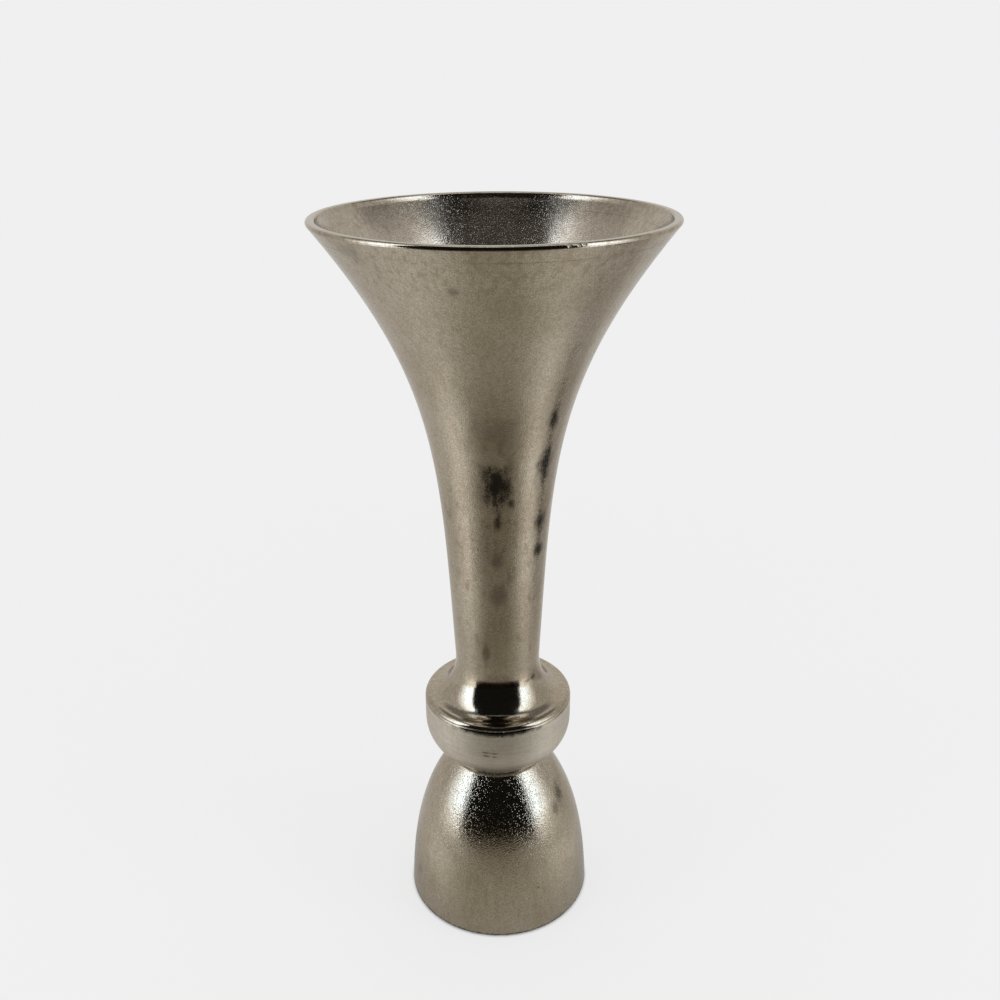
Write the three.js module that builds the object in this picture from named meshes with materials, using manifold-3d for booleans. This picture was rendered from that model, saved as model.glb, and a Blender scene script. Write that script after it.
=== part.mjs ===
// Trumpet vase in nickel-plated cast aluminium.
// Three hollow castings stand on each other: a domed base, a round knop and a flared trumpet.
// A threaded rod in the trumpet's boss draws them together against a nut under the base's crown.
// Millimetres, +Z up, Z is the axis of every turned piece, and the origin is on the table below it.

import * as THREE from "three";
import { mergeVertices } from "three/addons/utils/BufferGeometryUtils.js";
import Module from "manifold-3d";

// Felt feet
const FELT_THICKNESS = 1.0;
const FELT_RADIUS = 4.0;
const FELT_COUNT = 4;

// Base: a bell open below, with a flat foot ring and a thick crown
const BASE_HEIGHT = 116.0;
const FOOT_RADIUS = 66.5;
const FOOT_EDGE_RADIUS = 0.8;
const FOOT_RING_WIDTH = 10.0;
const FOOT_RING_HEIGHT = 6.0;
const BASE_WALL = 5.0;
const BASE_DRAFT_DEG = 2.3;
const BASE_LOWER_PULL = 32.0;
const CROWN_RADIUS = 33.0;
const CROWN_SLOPE_DEG = 41.0;
const CROWN_PULL = 42.5;
const CROWN_THICKNESS = 10.0;

// Knop: a bowl with a straight band, rounded over at the top and drawn in to a short neck
const KNOP_RADIUS = 52.0;
const KNOP_WALL = 7.0;
const NECK_RADIUS = 31.0;
const NECK_HEIGHT = 3.5;
const BOWL_HEIGHT = 29.0;
const BOWL_PULL = 13.2;
const BOWL_UNDER_DEG = 18.0;
const BAND_HEIGHT = 15.8;
const WEB_THICKNESS = 9.0;
const WEB_FLAT_RADIUS = 20.0;
const INNER_BOWL_PULL = 12.0;
const REGISTER_RADIUS = 18.0;
const REGISTER_DEPTH = 3.0;

// Rounded edge of the knop, which the joint between knop and trumpet crosses
const EDGE_RADIUS = 5.3;
const SEAM_RISE = 2.4;
const SEAM_CHAMFER = 0.4;

// Trumpet: coved foot, tapering stem and flared bell
const COVE_HEIGHT = 29.4;
const FOOT_WALL = 5.0;
const SPIGOT_DEPTH = 4.0;
const SPIGOT_WALL = 5.0;
const STEM_RADIUS = 29.5;
const STEM_WALL = 4.2;
const STEM_DRAFT_DEG = 3.0;
const STEM_PULL = 141.0;
const FLARE_HEIGHT = 300.0;
const RIM_RADIUS = 110.9;
const RIM_SLOPE_DEG = 37.3;
const RIM_PULL = 123.2;
const LIP_WIDTH = 5.7;
const LIP_EDGE_RADIUS = 1.6;
const FLOOR_DROP = 12.2;
const FLOOR_THICKNESS = 6.0;
const FLOOR_FILLET = 12.0;
const BOSS_RADIUS = 12.0;
const BOSS_HEIGHT = 14.0;
const TAP_DEPTH = 16.0;

// Threaded rod and its fastenings
const ROD_RADIUS = 5.0;
const ROD_CHAMFER = 1.0;
const ROD_TIP_GAP = 1.0;
const ROD_STICKOUT = 5.0;
const WASHER_RING_WIDTH = 9.5;
const WASHER_THICKNESS = 2.5;
const SPRING_RING_WIDTH = 4.0;
const SPRING_THICKNESS = 2.2;
const SPRING_SPLIT_DEG = 8.0;
const NUT_FLATS = 17.0;
const NUT_HEIGHT = 8.0;
const NUT_CHAMFER_DEG = 30.0;

// Clearances
const THREAD_CLEARANCE = 0.3;
const ROD_HOLE_CLEARANCE = 0.5;
const REGISTER_CLEARANCE = 0.3;

// Facets: sides of the castings and of the small pieces, and steps along each curve
const CASTING_SIDES = 48;
const SMALL_SIDES = 24;
const LONG_CURVE_STEPS = 14;
const CURVE_STEPS = 8;
const EDGE_STEPS = 4;

// A cubic curve turns a quarter circle when its handles are this share of the radius
const QUARTER_TURN = 0.5523;

// Heights, stacked from the table up
const FOOT_Z = FELT_THICKNESS;
const CROWN_Z = FOOT_Z + BASE_HEIGHT;
const CROWN_UNDER_Z = CROWN_Z - CROWN_THICKNESS;
const NECK_TOP_Z = CROWN_Z + NECK_HEIGHT;
const BAND_LOW_Z = NECK_TOP_Z + BOWL_HEIGHT;
const BAND_HIGH_Z = BAND_LOW_Z + BAND_HEIGHT;
const SEAM_Z = BAND_HIGH_Z + SEAM_RISE;
const COVE_LOW_Z = BAND_HIGH_Z + EDGE_RADIUS;
const STEM_LOW_Z = COVE_LOW_Z + COVE_HEIGHT;
const RIM_Z = STEM_LOW_Z + FLARE_HEIGHT;
const FLOOR_Z = STEM_LOW_Z - FLOOR_DROP;
const FLOOR_UNDER_Z = FLOOR_Z - FLOOR_THICKNESS;
const BOSS_LOW_Z = FLOOR_UNDER_Z - BOSS_HEIGHT;
const TAP_TOP_Z = BOSS_LOW_Z + TAP_DEPTH;
const WASHER_LOW_Z = CROWN_UNDER_Z - WASHER_THICKNESS;
const SPRING_LOW_Z = WASHER_LOW_Z - SPRING_THICKNESS;
const NUT_LOW_Z = SPRING_LOW_Z - NUT_HEIGHT;
const ROD_LOW_Z = NUT_LOW_Z - ROD_STICKOUT;
const ROD_TOP_Z = TAP_TOP_Z - ROD_TIP_GAP;

// Radii that follow from the pieces they fit
const TAPPED_RADIUS = ROD_RADIUS + THREAD_CLEARANCE;
const ROD_HOLE_RADIUS = ROD_RADIUS + ROD_HOLE_CLEARANCE;
const KNOP_BORE_RADIUS = KNOP_RADIUS - KNOP_WALL;
const SPIGOT_RADIUS = KNOP_BORE_RADIUS - REGISTER_CLEARANCE;
const RECESS_RADIUS = REGISTER_RADIUS + REGISTER_CLEARANCE;
const RECESS_LOW_Z = CROWN_Z - REGISTER_DEPTH - REGISTER_CLEARANCE;
const EDGE_CENTRE_RADIUS = KNOP_RADIUS - EDGE_RADIUS;
const SEAM_ANGLE = Math.asin(SEAM_RISE / EDGE_RADIUS);
const SEAM_RADIUS = EDGE_CENTRE_RADIUS + EDGE_RADIUS * Math.cos(SEAM_ANGLE);

// Finishes
const NICKEL = { color: 0x9d9584, metalness: 1.0, roughness: 0.35 };
const ZINC_STEEL = { color: 0xa8adb0, metalness: 1.0, roughness: 0.4 };
const SPRING_STEEL = { color: 0x55585c, metalness: 1.0, roughness: 0.5 };
const FELT = { color: 0x2b2a28, metalness: 0.0, roughness: 0.95 };

const wasm = await Module();
wasm.setup();

// A point of an outline: its distance from the axis and its height.
function at(radius, height) {
  return new THREE.Vector2(radius, height);
}

// The point that lies a distance from another, at an angle from the vertical.
function leaning(from, distance, degrees) {
  const angle = THREE.MathUtils.degToRad(degrees);
  return at(from.x + distance * Math.sin(angle), from.y + distance * Math.cos(angle));
}

// Points along a round edge, between two angles given from the outward direction.
function roundEdge(centre, radius, startAngle, endAngle) {
  const arc = new THREE.EllipseCurve(
    centre.x, centre.y, radius, radius, startAngle, endAngle, endAngle < startAngle,
  );
  return arc.getPoints(EDGE_STEPS);
}

// Points at a wall's thickness inside a curve that runs upwards.
function inset(curve, wall, steps) {
  return Array.from({ length: steps + 1 }, (_, step) => {
    const point = curve.getPoint(step / steps);
    const direction = curve.getTangent(step / steps);
    return at(point.x - wall * direction.y, point.y + wall * direction.x);
  });
}

// The stretch of an outline between two heights, ended exactly at both.
function between(points, low, high) {
  const kept = [];
  points.forEach((point, index) => {
    const before = points[index - 1];
    for (const height of [low, high]) {
      if (before && before.y < height && point.y > height) {
        kept.push(before.clone().lerp(point, (height - before.y) / (point.y - before.y)));
      }
    }
    if (point.y >= low && point.y <= high) kept.push(point);
  });
  return kept;
}

// A solid turned about Z from an outline, which runs anticlockwise seen with the axis at the left.
function turned(outline, sides) {
  const geometry = new THREE.LatheGeometry(outline, sides);
  geometry.rotateX(Math.PI / 2);
  return geometry;
}

// A turned ring, whose outline closes on itself.
function turnedRing(outline, sides) {
  return turned([...outline, outline[0]], sides);
}

// A closed geometry as a solid that can be cut, and the way back.
function toSolid(geometry) {
  const bare = geometry.clone();
  bare.deleteAttribute("normal");
  bare.deleteAttribute("uv");
  const merged = mergeVertices(bare);
  const mesh = new wasm.Mesh({
    numProp: 3,
    vertProperties: new Float32Array(merged.attributes.position.array),
    triVerts: new Uint32Array(merged.index.array),
  });
  return new wasm.Manifold(mesh);
}

function toGeometry(solid) {
  const { vertProperties, triVerts } = solid.getMesh();
  const geometry = new THREE.BufferGeometry();
  geometry.setAttribute("position", new THREE.BufferAttribute(vertProperties, 3));
  geometry.setIndex(new THREE.BufferAttribute(triVerts, 1));
  geometry.computeVertexNormals();
  return geometry;
}

// Base bell: its outer dome, then the seat on the crown, the rod's hole and the hollow below.
function baseBell() {
  const foot = at(FOOT_RADIUS, FOOT_Z);
  const crownEdge = at(CROWN_RADIUS, CROWN_Z);
  const dome = new THREE.CubicBezierCurve(
    foot,
    leaning(foot, BASE_LOWER_PULL, -BASE_DRAFT_DEG),
    leaning(crownEdge, -CROWN_PULL, -CROWN_SLOPE_DEG),
    crownEdge,
  );
  const footEdgeCentre = at(FOOT_RADIUS - FOOT_EDGE_RADIUS, FOOT_Z + FOOT_EDGE_RADIUS);
  const ringInner = FOOT_RADIUS - FOOT_RING_WIDTH;
  const ringTop = FOOT_Z + FOOT_RING_HEIGHT;
  const hollowLow = ringTop + FOOT_RING_WIDTH - BASE_WALL;
  const hollow = between(inset(dome, BASE_WALL, LONG_CURVE_STEPS), hollowLow, CROWN_UNDER_Z);
  return turnedRing([
    at(ringInner, FOOT_Z),
    ...roundEdge(footEdgeCentre, FOOT_EDGE_RADIUS, -Math.PI / 2, 0),
    ...dome.getPoints(LONG_CURVE_STEPS).filter((point) => point.y > footEdgeCentre.y),
    at(RECESS_RADIUS, CROWN_Z),
    at(RECESS_RADIUS, RECESS_LOW_Z),
    at(ROD_HOLE_RADIUS, RECESS_LOW_Z),
    at(ROD_HOLE_RADIUS, CROWN_UNDER_Z),
    ...hollow.reverse(),
    at(ringInner, ringTop),
  ], CASTING_SIDES);
}

// Knop: the register in the base's crown, the bowl, the band and the seat for the trumpet's foot.
function knop() {
  const neckTop = at(NECK_RADIUS, NECK_TOP_Z);
  const bandLow = at(KNOP_RADIUS, BAND_LOW_Z);
  const bowl = new THREE.CubicBezierCurve(
    neckTop,
    leaning(neckTop, BOWL_PULL, 90 - BOWL_UNDER_DEG),
    at(KNOP_RADIUS, BAND_LOW_Z - BOWL_PULL),
    bandLow,
  );
  const webTopZ = CROWN_Z + WEB_THICKNESS;
  const innerBowl = new THREE.CubicBezierCurve(
    at(KNOP_BORE_RADIUS, BAND_LOW_Z),
    at(KNOP_BORE_RADIUS, BAND_LOW_Z - INNER_BOWL_PULL),
    at(WEB_FLAT_RADIUS + INNER_BOWL_PULL, webTopZ),
    at(WEB_FLAT_RADIUS, webTopZ),
  );
  const edgeCentre = at(EDGE_CENTRE_RADIUS, BAND_HIGH_Z);
  const chamferAngle = Math.asin((SEAM_RISE - SEAM_CHAMFER) / EDGE_RADIUS);
  const registerLowZ = CROWN_Z - REGISTER_DEPTH;
  return turnedRing([
    at(ROD_HOLE_RADIUS, registerLowZ),
    at(REGISTER_RADIUS, registerLowZ),
    at(REGISTER_RADIUS, CROWN_Z),
    at(NECK_RADIUS, CROWN_Z),
    ...bowl.getPoints(CURVE_STEPS),
    ...roundEdge(edgeCentre, EDGE_RADIUS, 0, chamferAngle),
    at(SEAM_RADIUS - SEAM_CHAMFER, SEAM_Z),
    at(KNOP_BORE_RADIUS, SEAM_Z),
    ...innerBowl.getPoints(CURVE_STEPS),
    at(ROD_HOLE_RADIUS, webTopZ),
  ], CASTING_SIDES);
}

// Trumpet: the tapped boss and the hollow under the floor, the foot, the stem, the bell and its inside.
function trumpet() {
  const edgeCentre = at(EDGE_CENTRE_RADIUS, BAND_HIGH_Z);
  const chamferAngle = Math.asin((SEAM_RISE + SEAM_CHAMFER) / EDGE_RADIUS);
  const stemLow = at(STEM_RADIUS, STEM_LOW_Z);
  const coveLow = at(EDGE_CENTRE_RADIUS, COVE_LOW_Z);
  const cove = new THREE.CubicBezierCurve(
    coveLow,
    at(coveLow.x - QUARTER_TURN * (EDGE_CENTRE_RADIUS - STEM_RADIUS), COVE_LOW_Z),
    leaning(stemLow, -QUARTER_TURN * COVE_HEIGHT, STEM_DRAFT_DEG),
    stemLow,
  );

  const rimSlope = THREE.MathUtils.degToRad(RIM_SLOPE_DEG);
  const lipCentre = at(RIM_RADIUS - LIP_EDGE_RADIUS, RIM_Z - LIP_EDGE_RADIUS);
  const flareTop = at(
    lipCentre.x + LIP_EDGE_RADIUS * Math.cos(rimSlope),
    lipCentre.y - LIP_EDGE_RADIUS * Math.sin(rimSlope),
  );
  const flare = flareCurve(stemLow, flareTop);

  const mouthRadius = RIM_RADIUS - LIP_WIDTH;
  const mouthCentre = at(mouthRadius + LIP_EDGE_RADIUS, lipCentre.y);
  const boreRadius = STEM_RADIUS - STEM_WALL;
  const bore = flareCurve(at(boreRadius, STEM_LOW_Z), at(mouthRadius, lipCentre.y));
  const filletCentre = at(boreRadius - FLOOR_FILLET, FLOOR_Z + FLOOR_FILLET);

  const spigotInner = SPIGOT_RADIUS - SPIGOT_WALL;
  const underCove = inset(cove, FOOT_WALL, CURVE_STEPS).filter((point) => point.x < spigotInner);
  const hollow = between(underCove, SEAM_Z, FLOOR_UNDER_Z);
  return turned([
    at(0, TAP_TOP_Z),
    at(TAPPED_RADIUS, TAP_TOP_Z),
    at(TAPPED_RADIUS, BOSS_LOW_Z),
    at(BOSS_RADIUS, BOSS_LOW_Z),
    at(BOSS_RADIUS, FLOOR_UNDER_Z),
    ...hollow.reverse(),
    at(spigotInner, SEAM_Z),
    at(spigotInner, SEAM_Z - SPIGOT_DEPTH),
    at(SPIGOT_RADIUS, SEAM_Z - SPIGOT_DEPTH),
    at(SPIGOT_RADIUS, SEAM_Z),
    at(SEAM_RADIUS - SEAM_CHAMFER, SEAM_Z),
    ...roundEdge(edgeCentre, EDGE_RADIUS, chamferAngle, Math.PI / 2),
    ...cove.getPoints(CURVE_STEPS).slice(1),
    ...flare.getPoints(LONG_CURVE_STEPS).slice(1, -1),
    ...roundEdge(lipCentre, LIP_EDGE_RADIUS, -rimSlope, Math.PI / 2),
    ...roundEdge(mouthCentre, LIP_EDGE_RADIUS, Math.PI / 2, Math.PI),
    ...bore.getPoints(LONG_CURVE_STEPS).reverse().slice(1),
    ...roundEdge(filletCentre, FLOOR_FILLET, 0, -Math.PI / 2),
    at(0, FLOOR_Z),
  ], CASTING_SIDES);
}

// The line of the stem and bell, from the stem's foot to the lip.
function flareCurve(low, high) {
  return new THREE.CubicBezierCurve(
    low,
    leaning(low, STEM_PULL, STEM_DRAFT_DEG),
    leaning(high, -RIM_PULL, RIM_SLOPE_DEG),
    high,
  );
}

function tieRod() {
  const tipRadius = ROD_RADIUS - ROD_CHAMFER;
  return turned([
    at(0, ROD_LOW_Z),
    at(tipRadius, ROD_LOW_Z),
    at(ROD_RADIUS, ROD_LOW_Z + ROD_CHAMFER),
    at(ROD_RADIUS, ROD_TOP_Z - ROD_CHAMFER),
    at(tipRadius, ROD_TOP_Z),
    at(0, ROD_TOP_Z),
  ], SMALL_SIDES);
}

function crownWasher() {
  const outer = ROD_HOLE_RADIUS + WASHER_RING_WIDTH;
  return turnedRing([
    at(ROD_HOLE_RADIUS, WASHER_LOW_Z),
    at(outer, WASHER_LOW_Z),
    at(outer, CROWN_UNDER_Z),
    at(ROD_HOLE_RADIUS, CROWN_UNDER_Z),
  ], SMALL_SIDES);
}

// Split ring, pressed flat by the nut.
function springWasher() {
  const half = THREE.MathUtils.degToRad(SPRING_SPLIT_DEG) / 2;
  const ring = new THREE.Shape();
  ring.absarc(0, 0, ROD_HOLE_RADIUS + SPRING_RING_WIDTH, half, 2 * Math.PI - half, false);
  ring.absarc(0, 0, ROD_HOLE_RADIUS, 2 * Math.PI - half, half, true);
  const geometry = new THREE.ExtrudeGeometry(ring, {
    depth: SPRING_THICKNESS, bevelEnabled: false, curveSegments: SMALL_SIDES,
  });
  geometry.translate(0, 0, SPRING_LOW_Z);
  return geometry;
}

// Hexagon nut with its corners turned off at both ends.
function clampNut() {
  const cornerRadius = NUT_FLATS / 2 / Math.cos(Math.PI / 6);
  const corners = Array.from({ length: 6 }, (_, corner) => {
    const angle = corner * Math.PI / 3;
    return at(cornerRadius * Math.cos(angle), cornerRadius * Math.sin(angle));
  });
  const hexagon = new THREE.Shape(corners);
  const tapped = new THREE.Path();
  tapped.absarc(0, 0, TAPPED_RADIUS, 0, 2 * Math.PI, true);
  hexagon.holes.push(tapped);
  const prism = new THREE.ExtrudeGeometry(hexagon, {
    depth: NUT_HEIGHT, bevelEnabled: false, curveSegments: SMALL_SIDES / 2,
  });
  prism.translate(0, 0, NUT_LOW_Z);

  const faceRadius = NUT_FLATS / 2;
  const rise = (cornerRadius - faceRadius) * Math.tan(THREE.MathUtils.degToRad(NUT_CHAMFER_DEG));
  const blank = turned([
    at(0, NUT_LOW_Z),
    at(faceRadius, NUT_LOW_Z),
    at(cornerRadius, NUT_LOW_Z + rise),
    at(cornerRadius, SPRING_LOW_Z - rise),
    at(faceRadius, SPRING_LOW_Z),
    at(0, SPRING_LOW_Z),
  ], SMALL_SIDES);
  return toGeometry(toSolid(prism).intersect(toSolid(blank)));
}

function feltFoot() {
  return turned([
    at(0, 0),
    at(FELT_RADIUS, 0),
    at(FELT_RADIUS, FELT_THICKNESS),
    at(0, FELT_THICKNESS),
  ], SMALL_SIDES);
}

function piece(name, geometry, finish) {
  const mesh = new THREE.Mesh(geometry, new THREE.MeshStandardMaterial(finish));
  mesh.name = name;
  return mesh;
}

const castings = new THREE.Group();
castings.add(piece("trumpet", trumpet(), NICKEL));
castings.add(piece("knop", knop(), NICKEL));
castings.add(piece("base_bell", baseBell(), NICKEL));

const fastenings = new THREE.Group();
fastenings.add(piece("tie_rod", tieRod(), ZINC_STEEL));
fastenings.add(piece("crown_washer", crownWasher(), ZINC_STEEL));
fastenings.add(piece("spring_washer", springWasher(), SPRING_STEEL));
fastenings.add(piece("clamp_nut", clampNut(), ZINC_STEEL));

const feet = new THREE.Group();
const feltCircleRadius = FOOT_RADIUS - FOOT_RING_WIDTH / 2;
for (let foot = 0; foot < FELT_COUNT; foot += 1) {
  const angle = (foot + 0.5) * 2 * Math.PI / FELT_COUNT;
  const felt = piece(`felt_foot_${foot + 1}`, feltFoot(), FELT);
  felt.position.set(feltCircleRadius * Math.cos(angle), feltCircleRadius * Math.sin(angle), 0);
  feet.add(felt);
}

const vase = new THREE.Group();
vase.add(castings, fastenings, feet);

export default vase;
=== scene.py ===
"""Looks of a trumpet vase in nickel-plated cast aluminium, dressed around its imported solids.

Three turned castings, the bell, the knop and the base, are drawn together by a threaded rod.
Outlines are written in millimetres as (distance from the axis, height); meshes are in metres.
"""

import math

import bpy
from mathutils import Matrix, Vector


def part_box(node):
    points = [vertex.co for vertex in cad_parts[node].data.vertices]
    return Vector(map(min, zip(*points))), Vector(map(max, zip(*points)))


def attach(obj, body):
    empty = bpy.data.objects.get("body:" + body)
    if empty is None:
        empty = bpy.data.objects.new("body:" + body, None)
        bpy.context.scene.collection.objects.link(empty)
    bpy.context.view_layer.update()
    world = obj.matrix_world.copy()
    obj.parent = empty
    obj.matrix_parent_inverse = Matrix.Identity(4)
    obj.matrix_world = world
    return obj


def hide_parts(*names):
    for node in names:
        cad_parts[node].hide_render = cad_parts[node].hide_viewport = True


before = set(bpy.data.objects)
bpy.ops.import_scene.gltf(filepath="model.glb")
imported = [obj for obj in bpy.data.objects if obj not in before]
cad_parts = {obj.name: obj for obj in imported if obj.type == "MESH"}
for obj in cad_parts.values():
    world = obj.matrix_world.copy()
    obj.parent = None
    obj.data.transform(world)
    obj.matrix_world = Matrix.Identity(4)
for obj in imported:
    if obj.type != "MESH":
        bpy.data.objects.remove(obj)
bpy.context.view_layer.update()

MM = 0.001
FULL_TURN = 2 * math.pi
BODY = "root"

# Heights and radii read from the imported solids, in millimetres


def low_of(node):
    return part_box(node)[0].z / MM


def top_of(node):
    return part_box(node)[1].z / MM


def reach_of(node):
    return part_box(node)[1].x / MM


RIM_Z = top_of("trumpet")
RIM_RADIUS = reach_of("trumpet")
SPIGOT_LOW_Z = low_of("trumpet")
SEAM_Z = top_of("knop")
KNOP_RADIUS = reach_of("knop")
REGISTER_LOW_Z = low_of("knop")
CROWN_Z = top_of("base_bell")
FOOT_Z = low_of("base_bell")
FOOT_RADIUS = reach_of("base_bell")
ROD_LOW_Z = low_of("tie_rod")
ROD_TOP_Z = top_of("tie_rod")
ROD_RADIUS = reach_of("tie_rod")
WASHER_LOW_Z = low_of("crown_washer")
CROWN_UNDER_Z = top_of("crown_washer")
WASHER_RADIUS = reach_of("crown_washer")
SPRING_LOW_Z = low_of("spring_washer")
NUT_LOW_Z = low_of("clamp_nut")

# Sizes that the boxes don't give, the same as in the solids

FOOT_EDGE_RADIUS = 0.8
FOOT_RING_WIDTH = 10
FOOT_RING_HEIGHT = 6
BASE_WALL = 5
BASE_DRAFT_DEG = 2.3
BASE_LOWER_PULL = 32
CROWN_RADIUS = 33
CROWN_SLOPE_DEG = 41
CROWN_PULL = 42.5

KNOP_WALL = 7
NECK_RADIUS = 31
NECK_HEIGHT = 3.5
BOWL_HEIGHT = 29
BOWL_PULL = 13.2
BOWL_UNDER_DEG = 18
WEB_THICKNESS = 9
WEB_FLAT_RADIUS = 20
INNER_BOWL_PULL = 12
REGISTER_RADIUS = 18
REGISTER_CLEARANCE = 0.3

EDGE_RADIUS = 5.3
SEAM_RISE = 2.4
SEAM_CHAMFER = 0.4

COVE_HEIGHT = 29.4
QUARTER_TURN = 0.5523
FOOT_WALL = 5
SPIGOT_WALL = 5
STEM_RADIUS = 29.5
STEM_WALL = 4.2
STEM_DRAFT_DEG = 3
STEM_PULL = 141
RIM_SLOPE_DEG = 37.3
RIM_PULL = 123.2
LIP_WIDTH = 5.7
LIP_EDGE_RADIUS = 1.6
FLOOR_DROP = 12.2
FLOOR_THICKNESS = 6
FLOOR_FILLET = 12
BOSS_RADIUS = 12
BOSS_HEIGHT = 14
TAP_DEPTH = 16

THREAD_CLEARANCE = 0.3
ROD_HOLE_CLEARANCE = 0.5
ROD_CHAMFER = 1
SPRING_RING_WIDTH = 4
SPRING_SPLIT_DEG = 8
NUT_FLATS = 17
NUT_CHAMFER_DEG = 30
FELT_RADIUS = 4
FELT_COUNT = 4
FELT_RING_RADIUS = 61.5
FELT_FIRST_DEG = 45

# Details that only the look has: the cut thread, slants, small roundings and unevenness

THREAD_PITCH = 1.5
THREAD_DEPTH = 0.9
SPRING_SLANT_DEG = 10
SPRING_EDGE_RADIUS = 0.3
NUT_SINK = 0.8
NUT_CREASE_DEG = 25
CAST_FILLET = 1
MACHINED_FILLET = 0.4
SEAT_FILLET = 0.15
RING_FILLET = 0.5
CROWN_FILLET = 0.6
WASHER_FILLET = 0.35
FELT_FILLET = 0.35
CASTING_UNEVENNESS = 0.08 * MM
WAVE_LENGTH = 25 * MM
FELT_FUZZ = 0.12 * MM
FELT_FUZZ_SCALE = 1800

# Heights and radii that follow from them

BAND_HIGH_Z = SEAM_Z - SEAM_RISE
BAND_LOW_Z = CROWN_Z + NECK_HEIGHT + BOWL_HEIGHT
COVE_LOW_Z = BAND_HIGH_Z + EDGE_RADIUS
STEM_LOW_Z = COVE_LOW_Z + COVE_HEIGHT
FLOOR_Z = STEM_LOW_Z - FLOOR_DROP
FLOOR_UNDER_Z = FLOOR_Z - FLOOR_THICKNESS
BOSS_LOW_Z = FLOOR_UNDER_Z - BOSS_HEIGHT
TAP_TOP_Z = BOSS_LOW_Z + TAP_DEPTH
TAPPED_RADIUS = ROD_RADIUS + THREAD_CLEARANCE
ROD_HOLE_RADIUS = ROD_RADIUS + ROD_HOLE_CLEARANCE
KNOP_BORE_RADIUS = KNOP_RADIUS - KNOP_WALL
SPIGOT_RADIUS = KNOP_BORE_RADIUS - REGISTER_CLEARANCE
RECESS_RADIUS = REGISTER_RADIUS + REGISTER_CLEARANCE
RECESS_LOW_Z = REGISTER_LOW_Z - REGISTER_CLEARANCE
EDGE_CENTRE = (KNOP_RADIUS - EDGE_RADIUS, BAND_HIGH_Z)
SEAM_RADIUS = EDGE_CENTRE[0] + math.sqrt(EDGE_RADIUS ** 2 - SEAM_RISE ** 2)
FELT_THICKNESS = FOOT_Z

# How finely outlines are followed and turned, and how near two points count as one

SPACING = 2.4
DOME_SPACING = 1.5
FINE_SPACING = 0.9
NUT_SPACING = 0.3
LEAST_CURVE_STEPS = 6
SAME_POINT = 0.001
SEAM_MERGE = 0.001 * MM
END_TOLERANCE = 1e-4
EDGE_HOLD = 0.25
ARC_STEPS = 8
CORNER_STEPS = 4
CASTING_SIDES = 192
SMALL_SIDES = 96
ROWS_PER_TURN = 12

# Where the loops of the knop and the base start on their walls, and where the base's hollow stops

KNOP_START = 1
RING_START = 2
HOLLOW_GAP = 1

# The nut has six flats; those of a round piece are so far apart that none of them touches it

FLAT_COUNT = 6
FAR_ACROSS = 10.0

# How far the polish of the cove fades up the stem, and how far the mouth's finish reaches down the bore

STEM_BLEND_HEIGHT = 45
MOUTH_DEPTH = 170

# Finishes along an outline: polish, cast grain, rough inside of the casting, lathe marks

SATIN = (0.85, 0.6, 0.0, 0.0)
POLISHED = (1.0, 0.12, 0.0, 0.0)
PEBBLED = (1.0, 1.0, 0.0, 0.0)
BRUSHED = (0.25, 0.3, 0.0, 0.0)
MOUTH_FINISH = (0.85, 0.5, 0.2, 0.0)
AS_CAST = (0.0, 1.0, 1.0, 0.0)
MACHINED = (0.65, 0.0, 0.2, 1.0)

# How the finish is stored on the points of a turned piece

FINISH_ATTRIBUTES = {"finish": "FLOAT_VECTOR", "lathe_marks": "FLOAT"}

# Outlines


def leaning(start, distance, degrees):
    """The point that lies a distance from another, at an angle from the vertical."""
    angle = math.radians(degrees)
    return (start[0] + distance * math.sin(angle), start[1] + distance * math.cos(angle))


def straight(start, end, spacing=SPACING):
    """Points along a straight line, with one close to each end so that its shading stays flat."""
    length = math.dist(start, end)
    hold = min(EDGE_HOLD, length / 3)
    steps = max(1, round((length - 2 * hold) / spacing))
    inner = [hold + (length - 2 * hold) * step / steps for step in range(steps + 1)]
    return [
        (start[0] + (end[0] - start[0]) * way / length, start[1] + (end[1] - start[1]) * way / length)
        for way in [0, *inner, length]
    ]


def curve(start, start_pull, end_pull, end, spacing=SPACING):
    """Points along a cubic curve."""
    steps = max(LEAST_CURVE_STEPS, round(math.dist(start, end) / spacing))
    points = []
    for step in range(steps + 1):
        t = step / steps
        weights = ((1 - t) ** 3, 3 * t * (1 - t) ** 2, 3 * t * t * (1 - t), t ** 3)
        handles = (start, start_pull, end_pull, end)
        points.append(tuple(sum(w * h[axis] for w, h in zip(weights, handles)) for axis in (0, 1)))
    return points


def arc(centre, radius, start_deg, end_deg):
    """Points along a round edge, between two angles given from the outward direction."""
    angles = [math.radians(start_deg + (end_deg - start_deg) * i / ARC_STEPS) for i in range(ARC_STEPS + 1)]
    return [(centre[0] + radius * math.cos(a), centre[1] + radius * math.sin(a)) for a in angles]


def inset(points, wall):
    """Points at a wall's thickness inside a line that runs upwards."""
    moved = []
    for index, (radius, height) in enumerate(points):
        before = points[max(index - 1, 0)]
        after = points[min(index + 1, len(points) - 1)]
        length = math.dist(before, after)
        moved.append((
            radius - wall * (after[1] - before[1]) / length,
            height + wall * (after[0] - before[0]) / length,
        ))
    return moved


def between(points, low, high):
    """The stretch of a line between two heights."""
    return [point for point in points if low < point[1] < high]


def toward(start, end, distance):
    """The point a distance from one point on the way to another, at most half of the way."""
    share = min(0.5, distance / math.dist(start, end))
    return tuple(a + (b - a) * share for a, b in zip(start, end))


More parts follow.
